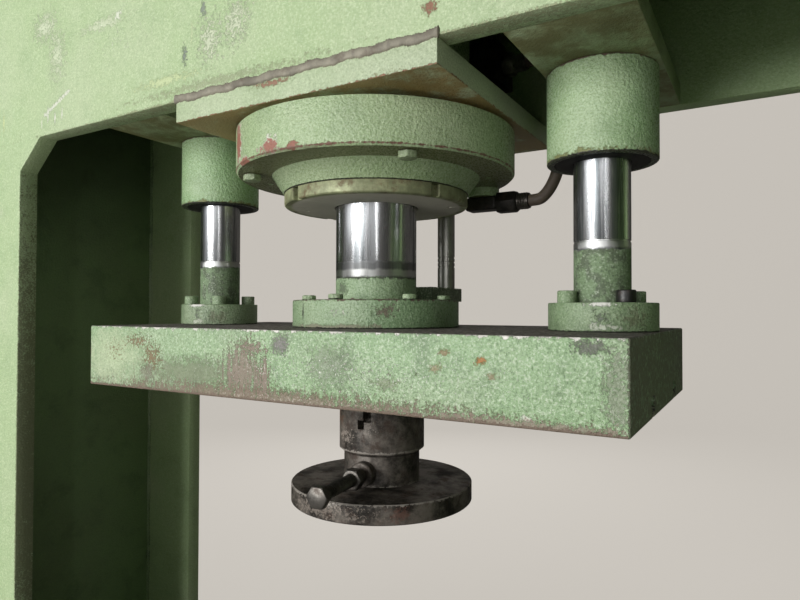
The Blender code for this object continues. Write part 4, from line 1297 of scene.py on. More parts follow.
    def build(self) -> None:
        """Model and dress the frame's pieces."""
        front, inner = self.front_enamel(), self.inner_enamel()
        # The rear plate takes a darker copy of the front's green: painted shade for its inner
        # face.
        rear = Enamel("rear enamel", fleck=0.45, coat=paint(154, 178, 128),
                      deep=paint(126, 148, 104), pale=paint(190, 206, 164),
                      dusty=paint(170, 180, 146), dust=0.5, dirt=0.5, edges=front.edges)
        for name, finish, low, high in (
                ("front_plate", front, -self.plate_out, -self.plate_in),
                ("rear_plate", rear, self.plate_in, self.plate_out)):
            plate = block(name + "_cut", (-self.half_width, low, self.plate_low),
                          (self.half_width, high, self.plate_high))
            combine(plate, prism("window", self.window_outline(), Axis.Y, low - PAST, high + PAST))
            self.shop.fit(round_edges(plate, width=0.0018), finish, Slot.GREEN, Body.FRAME, name)
        _, depth, rise = self.foot
        for side in Side:
            x0, x1 = side.span(self.web)
            web = block(f"column_web_{side.word}_rolled", (x0, -self.web_depth, self.plate_low),
                        (x1, self.web_depth, self.plate_high))
            self.shop.fit(round_edges(web, width=0.001), inner, Slot.DARK, Body.FRAME,
                          f"column_web_{side.word}")
            x0, x1 = side.span((self.foot_in, self.foot[0]))
            foot = block(f"foot_{side.word}_plate", (x0, -depth, 0), (x1, depth, rise))
            self.shop.fit(round_edges(foot, width=0.003), Enamel(
                "foot enamel", coat=paint(120, 138, 100), dirt=0.7, fleck=0.4,
                edges=(Edge(Axis.Z, 0.0, 0.02, BROWN, 0.6, 2.4, 50),),
                top=paint(86, 80, 68)), Slot.GREEN, Body.FRAME, f"foot_{side.word}")
            self.column_welds(side)
        self.crown_top()

    def crown_top(self) -> None:
        """Lay the top plate on the crown, with its pipe holes and its seams."""
        top = block("crown_top_plate_drilled",
                    (-self.half_width, -self.plate_out, self.plate_high + 0.0003),
                    (self.half_width, self.plate_out, self.crown_high))
        for x, y, radius in self.pipes:
            drill(top, (x, y), radius, self.plate_high - PAST, self.crown_high + PAST, sides=32)
        self.shop.fit(round_edges(top, width=0.002), Enamel(
            "crown top enamel", dust=0.8, dirt=0.6, dusty=paint(150, 146, 128),
            edges=(Edge(Axis.Z, self.crown_high, 0.006, BROWN, 0.3, 3.0, 60),)),
            Slot.GREEN, Body.FRAME, "crown_top_plate")
        end = self.half_width - 0.004
        for number, y in enumerate((-self.plate_out, self.plate_out), 1):
            bead = weld_bead(f"crown_seam_{number}", (-end, y, self.plate_high),
                             (end, y, self.plate_high), radius=0.0058, pitch=0.009,
                             flatten=(1, 0.6, 1))
            self.shop.fit(bead, Enamel("seam enamel", dirt=0.6), Slot.GREEN, Body.FRAME)

    def column_welds(self, side: Side) -> None:
        """Weld the column's web to both plates, inside and outside, and its foot.

        Args:
            side: the column.
        """
        finish = Enamel("fillet enamel", coat=paint(104, 128, 84), deep=paint(60, 76, 50),
                        pale=paint(140, 160, 116), dirt=0.6)
        for number, (x, y) in enumerate((x, y) for x in self.web for y in (-1, 1)):
            place = (side.value * x, y * self.web_depth)
            bead = weld_bead(f"column_weld_{side.word}_{number + 1}",
                             (*place, self.plate_low + 0.004), (*place, self.plate_high - 0.004),
                             radius=0.0065, pitch=0.012)
            self.shop.fit(bead, finish, Slot.DARK, Body.FRAME)
        x0, x1 = (side.value * x for x in (self.window + 0.01, self.half_width - 0.002))
        height = self.foot[2] + 0.001
        for number, y in enumerate((-self.plate_out, self.plate_out), 1):
            bead = weld_bead(f"foot_weld_{side.word}_{number}",
                             (x0, y, height), (x1, y, height), radius=0.008, pitch=0.009)
            self.shop.fit(bead, finish, Slot.DARK, Body.FRAME)


@dataclass
class Bed(Assembly):
    """The bed table and the two ribs under it."""

    half: tuple[float, float] = (0.707, 0.265)
    low: float = 0.480
    high: float = 0.560
    rib_x: float = 0.300
    rib_half: float = 0.015
    rib: tuple[float, float, float] = (0.2247, 0.1197, 0.4797)

    def build(self) -> None:
        """Model and dress the bed."""
        x, y = self.half
        table = block("bed_table_ground", (-x, -y, self.low), (x, y, self.high))
        self.shop.fit(round_edges(table, width=0.003), Enamel(
            "bed enamel", coat=paint(150, 174, 128), dirt=0.6, fleck=0.6,
            edges=(Edge(Axis.Z, self.high, 0.006, CHALK, 0.4, 3.0, 90),
                   Edge(Axis.Z, self.low, 0.014, BROWN, 0.6, 2.4, 60, UPRIGHT_STRETCH)),
            top=paint(104, 98, 90)), Slot.GREEN, Body.FRAME, "bed_table")
        depth, low, high = self.rib
        finish = Enamel("rib enamel", coat=paint(110, 132, 88), dirt=0.6)
        for side in Side:
            at = side.value * self.rib_x
            rib = block(f"bed_rib_{side.word}_cut", (at - self.rib_half, -depth, low),
                        (at + self.rib_half, depth, high))
            self.shop.fit(round_edges(rib, width=0.0015), finish, Slot.DARK, Body.FRAME,
                          f"bed_rib_{side.word}")


@dataclass
class CylinderMount(Assembly):
    """Guide bridges and the pad under the crown, with the pad's unpainted weld."""

    bridge: tuple[float, float] = (0.355, 0.533)
    bridge_low: float = 1.860
    bridge_high: float = 1.900
    depth: float = 0.2247
    guide_x: float = 0.439
    guide_hole: float = 0.0703
    pad: tuple[float, float] = (0.273, 0.265)
    pad_low: float = 1.8197
    pad_high: float = 1.8597
    bore: float = 0.1855
    rod: tuple[float, float] = (0.055, 0.202)
    rod_hole: float = 0.0195
    bead_half: float = 0.277
    bead_z: float = 1.8632

    def build(self) -> None:
        """Model and dress the mount."""
        # The bridges take a darker copy of the crown's green: painted shade under the crown.
        shade = Enamel("bridge enamel", coat=paint(132, 150, 104), deep=paint(86, 96, 62),
                       pale=paint(160, 174, 126), dirt=0.6, fleck=0.35, roughness=0.55,
                       under=paint(110, 106, 66))
        for side in Side:
            x0, x1 = side.span(self.bridge)
            plate = block(f"guide_bridge_{side.word}_bored", (x0, -self.depth, self.bridge_low),
                          (x1, self.depth, self.bridge_high))
            drill(plate, (side.value * self.guide_x, 0), self.guide_hole,
                  self.bridge_low - PAST, self.bridge_high + PAST, sides=64)
            self.shop.fit(round_edges(plate, width=0.0012), shade, Slot.GREEN, Body.FRAME,
                          f"guide_bridge_{side.word}")
        self.build_pad()

    def build_pad(self) -> None:
        """Model and dress the pad and its weld."""
        x, y = self.pad
        pad = block("cylinder_pad_bored", (-x, -y, self.pad_low), (x, y, self.pad_high))
        drill(pad, (0, 0), self.bore, self.pad_low - PAST, self.pad_high + PAST, sides=96)
        drill(pad, self.rod, self.rod_hole, self.pad_low - PAST, self.pad_high + PAST)
        yellow = paint(128, 104, 58)
        self.shop.fit(round_edges(pad, width=0.0015), Enamel(
            "pad enamel", coat=paint(172, 190, 150), deep=paint(140, 158, 118), fleck=0.5,
            dust=0.5, under=paint(146, 120, 70), under_from=0.28,
            edges=(Edge(Axis.Z, self.pad_low, 0.004, paint(150, 112, 88), 0.4, 3.2, 90),),
            patches=(
                Patch((-0.036, -y, 1.851), (0.04, 0.02, 0.006), PRIMER, 0.85, 3.4, 120),
                Patch((0.215, -0.10, self.pad_low), (0.05, 0.08, 0.02), yellow, 0.8, 2.2, 40),
                Patch((0.19, -0.21, self.pad_low), (0.06, 0.05, 0.02), yellow, 0.6, 2.2, 40))),
            Slot.GREEN, Body.FRAME, "cylinder_pad")
        bead = weld_bead("pad_weld_run", (-self.bead_half, -y, self.bead_z),
                         (self.bead_half, -y, self.bead_z), radius=0.0078, pitch=0.0045,
                         flatten=(1, 0.42, 1), wander=0.13)
        self.shop.fit(bead, Metal(
            "bare weld bead", bright=paint(148, 143, 126), dull=paint(112, 107, 94),
            stain=paint(96, 84, 72), gloss=0.6, metallic=0.1, staining=0.5),
            Slot.WELD, Body.FRAME, "pad_weld_bead")


@dataclass
class Cylinder(Assembly):
    """Cylinder casting with its port boss, its screws and its cap."""

    outer: Profile = (
        (0.120, 1.6979), (0.181, 1.6979), (0.205, 1.7309), (0.268, 1.7309), (0.272, 1.7349),
        (0.272, 1.8104), (0.225, 1.8104), (0.225, 1.8194), (0.185, 1.8194), (0.185, 2.4079),
        (0.140, 2.4079), (0.140, 1.7779), (0.120, 1.7779), (0.120, 1.6979))
    boss: tuple[float, float] = (0.152, 0.185)
    boss_radius: float = 0.033
    boss_low: float = 1.7129
    flange_low: float = 1.7309
    rod: tuple[float, float] = (0.055, 0.202)
    rod_hole: float = 0.0195
    jack_circle: float = 0.222
    jack_hole: float = 0.005
    jack_turns: tuple[float, ...] = (22.0, -158.0)
    screw_circle: float = 0.242
    screw_turns: tuple[float, ...] = (135.0, -135.0, -45.0)
    screw_across: float = 0.030
    screw_head: float = 0.0125
    screw_low: float = 1.7306
    cap: Profile = ((0.182, 2.4082), (0.185, 2.4112), (0.185, 2.4552), (0.182, 2.4582))

    def enamel(self) -> Enamel:
        """Finish of the casting: primer chips at the left, a worn rim and painted shade.

        Returns:
            The enamel.
        """
        low, deep_chip = self.flange_low, paint(150, 92, 76)
        rim = (0.10, 0.06, 0.005)
        marks = tuple(
            Patch(place, size, tint, 0.95, ragged, 80, EVEN, 0.15, 0.5)
            for place, size, tint, ragged in (
                ((-0.1500, -0.2270, 1.775), (0.020, 0.030, 0.040), CHALK, 2.4),
                ((-0.1520, -0.2255, 1.775), (0.018, 0.026, 0.037), deep_chip, 2.4),
                ((-0.1207, -0.2437, 1.732), (0.030, 0.020, 0.012), CHALK, 2.6),
                ((-0.1207, -0.2437, 1.732), (0.028, 0.018, 0.010), deep_chip, 2.6),
                ((-0.0380, -0.2700, 1.745), (0.026, 0.03, 0.016), CHALK, 3.0),
                ((-0.0380, -0.2700, 1.744), (0.024, 0.03, 0.013), deep_chip, 3.0),
                ((0.0134, -0.2717, 1.737), (0.014, 0.03, 0.008), deep_chip, 2.6)))
        return Enamel(
            "casting enamel", coat=paint(160, 184, 136), deep=paint(116, 140, 100),
            pale=paint(214, 224, 194), fleck=0.42, dust=0.3, dirt=0.4,
            edges=(Edge(Axis.Z, low + 0.004, 0.0036, paint(124, 92, 76), 0.4, 2.6, 60,
                        (1, 1, 0.5)),
                   # Dark line at the neck's foot: painted shadow of the gap over the gland ring.
                   Edge(Axis.Z, self.outer[0][1], 0.0022, SOOT, 0.8, 0.8, 60)),
            patches=marks + (Patch((0.0, -0.27, low + 0.002), rim, BROWN, 0.5),),
            # Almost every underside darkens: dust stains and painted shade.
            under=paint(104, 106, 70), under_from=0.16, roughness=0.28)

    def build(self) -> None:
        """Model and dress the cylinder."""
        body = turned("cylinder_body_casting", (0, 0), self.outer, sides=128)
        boss = turned("boss", self.boss, ((self.boss_radius - 0.002, self.boss_low),
                                          (self.boss_radius, self.boss_low + 0.002),
                                          (self.boss_radius, self.flange_low + 0.01)), 48)
        combine(body, boss, "UNION")
        drill(body, self.rod, self.rod_hole, self.flange_low - 0.03, 1.83)
        for turn in self.jack_turns:
            x, y, _ = on_circle(self.jack_circle, turn, 0)
            drill(body, (x, y), self.jack_hole, self.flange_low - PAST, self.flange_low + 0.02,
                  sides=24)
        self.shop.fit(round_edges(body, width=0.0012, angle=25), self.enamel(), Slot.GREEN,
                      Body.FRAME, "cylinder_body")
        cap = turned("cylinder_cap_turned", (0, 0), self.cap, sides=96)
        self.shop.fit(round_edges(cap, width=0.001),
                      Enamel("cap enamel", coat=paint(120, 142, 98), dirt=0.5),
                      Slot.GREEN, Body.FRAME, "cylinder_cap")
        head = hex_head("screw", self.screw_across, self.screw_head, washer=0.0008)
        finish = Enamel("screw enamel", coat=paint(128, 146, 106), dirt=0.6, fleck=0.6,
                        edges=(Edge(Axis.Z, self.screw_low, 0.002, BROWN, 0.7),))
        for number, turn in enumerate(self.screw_turns, 1):
            place = on_circle(self.screw_circle, turn, self.screw_low)
            screw = twin(head, f"cylinder_screw_{number}", upright(place, turn + 12, flip=True))
            self.shop.fit(screw, finish, Slot.GREEN, Body.FRAME, f"cylinder_bolt_{number}")
        bpy.data.objects.remove(head, do_unlink=True)


@dataclass
class Gland(Assembly):
    """Notched gland ring that closes the cylinder's neck, with its seals."""

    ring: Profile = (
        (0.083, 1.6746), (0.1785, 1.6746), (0.181, 1.6771), (0.181, 1.6976), (0.083, 1.6976),
        (0.083, 1.6909), (0.0953, 1.6909), (0.0953, 1.6789), (0.083, 1.6789), (0.083, 1.6746))
    outside: float = 0.181
    middle: float = 1.686
    notch: Point = (0.010, 0.018, 0.03)
    notch_turns: tuple[float, ...] = (-21.6, 68.4, 158.4, -111.6)
    pin_circle: float = 0.145
    pin_turns: tuple[float, ...] = (20.0, -160.0)
    pin: float = 0.0045

    def build(self) -> None:
        """Model and dress the gland."""
        ring = turned("gland_ring_notched", (0, 0), self.ring, sides=128)
        depth, width, height = self.notch
        for turn in self.notch_turns:
            slot = block("notch", (self.outside - depth, -width / 2, self.middle - height),
                         (0.19, width / 2, self.middle + height))
            combine(ring, moved(slot, upright((0, 0, 0), turn)))
        for turn in self.pin_turns:
            x, y, _ = on_circle(self.pin_circle, turn, 0)
            drill(ring, (x, y), self.pin, 1.66, self.middle, sides=20)
        rim = Patch((0, 0, self.middle), (0.1795, 0.1795, 0.4), paint(194, 188, 178), 0.9,
                    0.02, 60, EVEN, 0.04, 0.0)
        # Dark patches at the notches: painted shade that makes them look deeper.
        dirt = (Patch(on_circle(self.outside, turn, self.middle), (0.012, 0.012, 0.014),
                      paint(70, 52, 40), 0.85, 1.6, 90) for turn in self.notch_turns)
        self.shop.fit(round_edges(ring, width=0.0008), Metal(
            "gland ring finish", bright=paint(166, 172, 132), dull=paint(122, 126, 94),
            stain=paint(96, 70, 46), gloss=0.48, metallic=0.2, staining=0.75,
            patches=(rim, *dirt)), Slot.TURNED, Body.FRAME, "gland_ring")
        self.shop.dress("gland_bush", BRONZE)
        for node in ("rod_seal", "wiper_ring"):
            self.shop.dress(node, SEAL)


@dataclass
class Ram(Assembly):
    """Chromed ram with its flange, collar and screws."""

    rod: Profile = ((0.054, 1.4503), (0.055, 1.4513), (0.055, 1.5353), (0.080, 1.5353),
                    (0.080, 2.1526), (0.060, 2.1526), (0.060, 2.2619), (0.059, 2.2629))
    flange: Profile = ((0.0553, 1.4403), (0.1625, 1.4403), (0.164, 1.4418), (0.164, 1.4900),
                       (0.162, 1.492), (0.0835, 1.492), (0.0812, 1.4932), (0.080, 1.4965),
                       (0.080, 1.535), (0.0553, 1.535), (0.0553, 1.4403))
    screw_circle: float = 0.134
    across: float = 0.024
    head: float = 0.010
    low: float = 1.4923
    raised: float = 1.5216
    on_arm: int = 2

    def enamel(self) -> Enamel:
        """Finish of the flange: chips and bare spots over dirty green.

        Returns:
            The enamel.
        """
        marks = (
            Patch((-0.061, -0.152, 1.470), (0.004, 0.03, 0.014), SOOT, 0.9, 1.4, 90),
            crumbs((0.104, -0.127, 1.472), (0.030, 0.05, 0.020), BROWN, 0.8, 3.0, 110,
                   0.5, 0.3, 2.6),
            crumbs((0.020, -0.163, 1.468), (0.060, 0.03, 0.022), CHALK, 0.9, 2.6, 150,
                   0.0, 0.3, 2.6),
            Patch((0.0, -0.16, 1.443), (0.14, 0.06, 0.006), paint(150, 140, 122), 0.7, 3.0, 60),
            Patch((-0.035, -0.080, 1.515), (0.022, 0.02, 0.018), paint(70, 74, 60), 0.7, 2.4, 110))
        return Enamel("ram flange enamel", coat=paint(130, 160, 116), deep=paint(80, 100, 70),
                      pale=paint(198, 212, 184), fleck=0.42, dirt=0.5, roughness=0.3,
                      patches=marks,
                      edges=(Edge(Axis.Z, 1.4403, 0.0035, SOOT, 0.6, 1.6, 60),
                             Edge(Axis.Z, 1.492, 0.005, BROWN, 0.4, 3.6, 90),
                             Edge(Axis.Z, 1.535, 0.006, paint(84, 88, 74), 0.5, 3.0, 90)))

    def build(self) -> None:
        """Model and dress the ram."""
        rod = turned("ram_rod_chromed", (0, 0), self.rod, sides=160)
        self.shop.fit(round_edges(rod, width=0.0006), Chrome("ram chrome", painted_to=1.5355),
                      Slot.CHROME, Body.RAM, "ram_rod")
        flange = turned("ram_flange_turned", (0, 0), self.flange, sides=128)
        self.shop.fit(round_edges(flange, width=0.0006, angle=40), self.enamel(), Slot.GREEN,
                      Body.RAM, "ram_flange")
        head = hex_head("screw", self.across, self.head, washer=0.0007)
        finish = Enamel("flange screw enamel", coat=paint(132, 154, 116), dirt=0.7, fleck=0.7,
                        edges=(Edge(Axis.Z, self.low, 0.003, SOOT, 0.7),))
        for number in range(1, 7):
            turn = 30 + 60 * (number - 1)
            low = self.raised if number == self.on_arm else self.low
            screw = twin(head, f"ram_flange_screw_{number}",
                         upright(on_circle(self.screw_circle, turn, low), turn + 8 * number))
            self.shop.fit(screw, finish, Slot.GREEN, Body.RAM, f"ram_flange_bolt_{number}")
        bpy.data.objects.remove(head, do_unlink=True)
        self.shop.dress("piston", Metal("piston steel", rings=2200))
        self.shop.dress("piston_seal", SEAL)


@dataclass
class Platen(Assembly):
    """The moving platen with its two T-slots."""

    half: tuple[float, float] = (0.530, 0.265)
    low: float = 1.320
    high: float = 1.440
    slots: tuple[float, ...] = (-0.092, 0.138)
    neck: tuple[float, float] = (0.018, 0.015)
    head: tuple[float, float] = (0.038, 0.017)

    def enamel(self) -> Enamel:
        """Finish of the platen: white chips above, brown scraped edge below, smears, painted
        shade.

        Returns:
            The enamel.
        """
        y, high, low = -self.half[1], self.high, self.low
        fret = paint(132, 112, 82)
        smear, streak = paint(140, 121, 111), (1, 1, 0.05)
        marks = (
            Patch((-0.460, y, 1.385), (0.130, 0.05, 0.075), paint(196, 206, 170), 0.55, 1.6, 30),
            Patch((-0.230, y, 1.360), (0.175, 0.05, 0.034), paint(120, 124, 100), 0.7, 2.0, 60),
            Patch((-0.100, y, 1.366), (0.050, 0.03, 0.056), smear, 0.85, 3.6, 170,
                  streak, 0.4, 2.8, 0.9),
            Patch((-0.050, y, 1.356), (0.024, 0.03, 0.050), smear, 0.9, 3.0, 160,
                  streak, 0.4, 2.4, 0.9),
            crumbs((-0.078, y, 1.408), (0.050, 0.03, 0.020), smear, 0.85, 3.4, 120, 0.6, 0.4, 2.6),
            Patch((-0.016, y, 1.416), (0.022, 0.03, 0.022), paint(130, 122, 124), 0.85, 2.2, 120,
                  streak),
            crumbs((-0.335, y, 1.382), (0.034, 0.03, 0.036), fret, 0.9, 3.2, 150, 0.5, 0.2, 4.2),
            crumbs((-0.375, y, 1.412), (0.060, 0.03, 0.018), fret, 0.9, 3.2, 150, 0.4, 0.2, 4.2),
            crumbs((-0.450, y, 1.395), (0.060, 0.03, 0.040), fret, 0.8, 3.2, 150, 0.0, 0.2, 4.2),
            Patch((-0.350, y, 1.352), (0.030, 0.03, 0.020), paint(124, 118, 104), 0.6, 2.4, 100),
            Patch((0.085, y, 1.385), (0.050, 0.03, 0.045), paint(128, 132, 116), 0.5, 2.6, 120),
            Patch((0.483, y, 1.428), (0.030, 0.03, 0.012), paint(96, 90, 90), 0.8, 2.0, 120),
            Patch((0.515, y, 1.375), (0.018, 0.03, 0.062), paint(140, 140, 126), 0.6, 2.6, 130),
            # Darker right end face: painted shade.
            Patch((0.54, 0.0, 1.380), (0.011, 0.3, 0.2), paint(110, 108, 92), 0.75, 1.0, 50),
            *(Patch((x, y, z), (wide, 0.03, tall), tint, strength, 2.6, 110)
              for x, z, wide, tall, tint, strength in (
                  (0.339, 1.405, 0.010, 0.006, paint(176, 116, 62), 0.9),
                  (0.285, 1.415, 0.010, 0.006, RUST, 0.6),
                  (0.270, 1.392, 0.012, 0.008, RUST, 0.5),
                  (0.355, 1.384, 0.010, 0.006, RUST, 0.5))),
            Patch((0.190, y, 1.364), (0.030, 0.03, 0.012), BROWN, 0.4, 3.4, 110),
            Patch((0.402, y, 1.333), (0.010, 0.03, 0.006), CHALK, 0.9, 2.4, 120),
            Patch((-0.06, y, 1.326), (0.50, 0.03, 0.022), paint(132, 115, 100), 0.9, 2.6, 110,
                  (1, 1, 0.4)),
            *(crumbs(place, size, tint, strength, ragged, grain, cover, 0.3, specks)
              for place, size, tint, strength, ragged, grain, cover, specks in (
                  ((0.0, y, 1.324), (0.60, 0.03, 0.022), paint(206, 196, 182), 0.8, 2.0, 200,
                   0.05, 4.0),
                  ((0.0, y, 1.328), (0.60, 0.03, 0.030), SOOT, 0.6, 2.6, 150, -0.25, 4.0),
                  ((0.10, y, 1.38), (0.60, 0.03, 0.07), paint(232, 236, 222), 0.9, 1.0, 150,
                   -0.3, 6.0),
                  ((0.10, y, 1.38), (0.60, 0.03, 0.07), BROWN, 0.7, 3.6, 90, -0.4, 3.0))),
            Patch((0.39, y, 1.324), (0.22, 0.03, 0.010), paint(150, 132, 120), 0.8, 2.4, 80),
            # Black inside the T-slots: painted shade in the recesses.
            *(Patch((0.0, at, low + 0.012), (3.0, 0.022, 0.021), BLACK, 1.0, 0.1, 60,
                    EVEN, 0.2, 0.0) for at in self.slots),
            Patch((-0.56, 0.0, 1.380), (0.04, 0.6, 0.2), paint(96, 100, 80), 0.6, 2.0, 50),
        )
        edges = (
            Edge(Axis.Z, low, 0.0075, paint(124, 108, 94), 0.8, 2.0, 80, UPRIGHT_STRETCH),
            Edge(Axis.Z, high, 0.0075, paint(238, 235, 226), 0.3, 4.4, 60),
            Edge(Axis.X, self.half[0], 0.008, paint(120, 124, 104), 0.4, 3.0, 110),
            Edge(Axis.X, -self.half[0], 0.006, paint(196, 190, 160), 0.3, 3.0, 90),
        )
        return Enamel("platen enamel", coat=paint(152, 182, 136), deep=paint(98, 118, 88),
                      pale=paint(220, 229, 208), dusty=paint(172, 186, 154), fleck=0.62,
                      dust=0.6, dirt=0.55, patches=marks, edges=edges, roughness=0.36,
                      top=paint(70, 62, 54), under=paint(96, 88, 76))

    def build(self) -> None:
        """Model and dress the platen."""
        x, y = self.half
        slab = block("platen_slotted", (-x, -y, self.low), (x, y, self.high))
        slab = apply_modifier(slab, "BEVEL", width=0.003, segments=3)
        (neck, deep), (wide, tall) = self.neck, self.head
        below, step, crown = self.low - PAST, self.low + deep, self.low + deep + tall
        for at in self.slots:
            cutter = prism("slot", (
                (at - neck / 2, below), (at + neck / 2, below), (at + neck / 2, step),
                (at + wide / 2, step), (at + wide / 2, crown), (at - wide / 2, crown),
                (at - wide / 2, step), (at - neck / 2, step)), Axis.Y, -x - 0.05, x + 0.05)
            combine(slab, moved(cutter, Matrix.Rotation(math.pi / 2, 4, "Z")))
        self.shop.fit(round_edges(slab, width=0.0006, segments=1), self.enamel(), Slot.GREEN,
                      Body.RAM, "platen")


@dataclass
class Guide(Assembly):
    """One guide: bush under the crown, rod, and the flange on the platen."""

    side: Side
    x: float = 0.439
    housing: Profile = (
        (0.0752, 1.7117), (0.0855, 1.7117), (0.0875, 1.7137), (0.0875, 1.8597),
        (0.070, 1.8597), (0.070, 1.960), (0.0586, 1.960), (0.0586, 1.7237),
        (0.0752, 1.7237), (0.0752, 1.7117))
    scraper: Profile = ((0.0453, 1.7120), (0.0747, 1.7120), (0.0747, 1.7234), (0.0453, 1.7234),
                        (0.0453, 1.7120))
    rod: Profile = ((0.0435, 1.4403), (0.045, 1.4418), (0.045, 1.5825), (0.0435, 1.5828),
                    (0.0435, 1.5852), (0.045, 1.5855), (0.045, 2.352), (0.042, 2.355))
    flange: Profile = ((0.0453, 1.4403), (0.085, 1.4403), (0.086, 1.4413), (0.086, 1.4843),
                       (0.085, 1.4853), (0.0453, 1.4853), (0.0453, 1.4403))
    screw_circle: float = 0.064
    screw: Point = (0.015, 0.0195, 0.0098)
    flange_high: float = 1.4853
    black_screw: int = 4

    def bush_enamel(self) -> Enamel:
        """Finish of the bush: greasy dark lower edge and undersides painted black as shade.

        Returns:
            The enamel.
        """
        return Enamel(
            f"bush enamel {self.side.word}", coat=paint(144, 176, 126),
            deep=paint(106, 132, 90), pale=paint(204, 218, 188), fleck=0.36, dirt=0.45,
            roughness=0.28,
            edges=(Edge(Axis.Z, 1.7117, 0.014, paint(126, 130, 84), 0.45, 2.4, 50),
                   Edge(Axis.Z, 1.7117, 0.004, SOOT, 0.8, 1.6, 60),
                   Edge(Axis.Z, 1.8597, 0.004, BROWN, 0.5, 2.4, 60)),
            # Every underside turns black: painted shade under the bush.
            under=BLACK, under_from=-0.5)

    def flange_enamel(self) -> Enamel:
        """Finish of the rod flange: bare scuffs and a dirt line at the foot.

        Returns:
            The enamel.
        """
        x = self.side.value * self.x
        return Enamel(
            f"rod flange enamel {self.side.word}", coat=paint(128, 152, 112),
            deep=paint(82, 98, 70), pale=paint(184, 198, 168), fleck=0.5, dirt=0.5, roughness=0.32,
            patches=(
                crumbs((x + 0.018, -0.083, 1.460), (0.024, 0.03, 0.026), paint(88, 90, 84), 0.7,
                       3.4, 120, 0.4, 0.6, 2.6),
                Patch((x + 0.015, -0.085, 1.483), (0.028, 0.03, 0.005), paint(236, 234, 226), 0.9,
                      2.6, 100),
                Patch((x + 0.020, -0.083, 1.447), (0.020, 0.03, 0.006), CHALK, 0.7, 4.4, 120),
                Patch((x + 0.05, -0.05, 1.46), (0.03, 0.03, 0.02), paint(96, 84, 66), 0.5, 2.6,
                      60)),
            edges=(Edge(Axis.Z, 1.4403, 0.003, SOOT, 0.6, 1.6, 60),))

    def build(self) -> None:
        """Model and dress one guide."""
        word, axis = self.side.word, (self.side.value * self.x, 0.0)
        housing = turned(f"guide_bush_{word}", axis, self.housing, sides=96)
        self.shop.fit(round_edges(housing, width=0.0008), self.bush_enamel(), Slot.GREEN,
                      Body.FRAME, f"guide_housing_{word}")
        scraper = turned(f"guide_wiper_{word}", axis, self.scraper, sides=72)
        self.shop.fit(round_edges(scraper, width=0.0012),
                      Rubber("greasy rubber", paint(16, 15, 14), paint(34, 31, 27)),
                      Slot.RUBBER, Body.FRAME, f"guide_scraper_{word}")
        self.shop.dress(f"guide_liner_{word}", BRONZE)
        rod = turned(f"guide_rod_{word}_ground", axis, self.rod, sides=96)
        self.shop.fit(round_edges(rod, width=0.0004),
                      Chrome(f"guide rod chrome {word}", painted_to=1.571, dull_to=1.586,
                             streaks=0.85),
                      Slot.GROUND, Body.RAM, f"guide_rod_{word}")
        flange = turned(f"guide_rod_flange_{word}_turned", axis, self.flange, sides=96)
        self.shop.fit(round_edges(flange, width=0.0006), self.flange_enamel(), Slot.GREEN,
                      Body.RAM, f"guide_rod_flange_{word}")
        self.build_screws(axis)

    def build_screws(self, axis: tuple[float, float]) -> None:
        """Set the four socket screws of the rod flange, one of them left black.

        Args:
            axis: the rod's axis in X and Y.
        """
        radius, height, socket = self.screw
        cap = turned("cap", (0, 0), ((radius - 0.0008, -0.0003), (radius, 0.0008),
                                     (radius, height - 0.0015), (radius - 0.0015, height)), 40)
        combine(cap, turned("socket", (0, 0), ((socket, height - 0.010),
                                               (socket, height + PAST)), HEXAGON))
        round_edges(cap, width=0.0003, segments=1)
        painted = Enamel("cap screw enamel", coat=paint(122, 146, 108), fleck=0.6, dirt=0.6)
        black = Metal("black cap screw", paint(60, 60, 58), paint(36, 36, 35), metallic=0.6)
        for number in range(1, 5):
            turn = 90 * number - 45
            place = on_circle(self.screw_circle, turn, self.flange_high, axis)
            part = twin(cap, f"rod_flange_screw_{self.side.word}_{number}",
                        upright(place, turn * 1.3))
            if self.side is Side.RIGHT and number == self.black_screw:
                self.shop.fit(part, black, Slot.OILED, Body.RAM)
            else:
                self.shop.fit(part, painted, Slot.GREEN, Body.RAM)
        bpy.data.objects.remove(cap, do_unlink=True)


@dataclass
class TravelRod(Assembly):
    """Thin rod behind the ram with its arm on the ram flange."""

    outline: Profile = ((-0.082, 0.083), (0.082, 0.083), (0.082, 0.226), (0.028, 0.226),
                        (-0.082, 0.1545))
    low: float = 1.4923
    high: float = 1.5213
    axis: tuple[float, float] = (0.055, 0.202)
    radius: float = 0.019
    rod_low: float = 1.5216
    rod_high: float = 2.2647
    grooves: tuple[float, ...] = (1.568, 1.578, 1.588)

    def build(self) -> None:
        """Model and dress the arm and the rod."""
        arm = prism("travel_rod_arm_cut", self.outline, Axis.Z, self.low, self.high)
        self.shop.fit(round_edges(arm, width=0.0012), Enamel(
            "arm enamel", coat=paint(92, 108, 80), deep=paint(56, 64, 48), dirt=0.8, fleck=0.5,
            edges=(Edge(Axis.Z, self.high, 0.005, CHALK, 0.4, 3.4, 80),)),
            Slot.GREEN, Body.RAM, "travel_rod_arm")
        full, cut = self.radius, self.radius - 0.0015
        rings = [(full - 0.001, self.rod_low), (full, self.rod_low + 0.001)]
        for at in self.grooves:
            rings += [(full, at), (cut, at + 0.0004), (cut, at + 0.0029), (full, at + 0.0033)]
        rings += [(full, self.rod_high - 0.0015), (cut, self.rod_high)]
        rod = turned("travel_rod_ringed", self.axis, rings, 64)
        self.shop.fit(round_edges(rod, width=0.0), Metal(
            "travel rod steel", paint(168, 166, 158), paint(88, 86, 80), gloss=0.34, metallic=0.6,
            staining=0.35, stretch=(1, 1, 0.1)), Slot.TURNED, Body.RAM, "travel_rod")


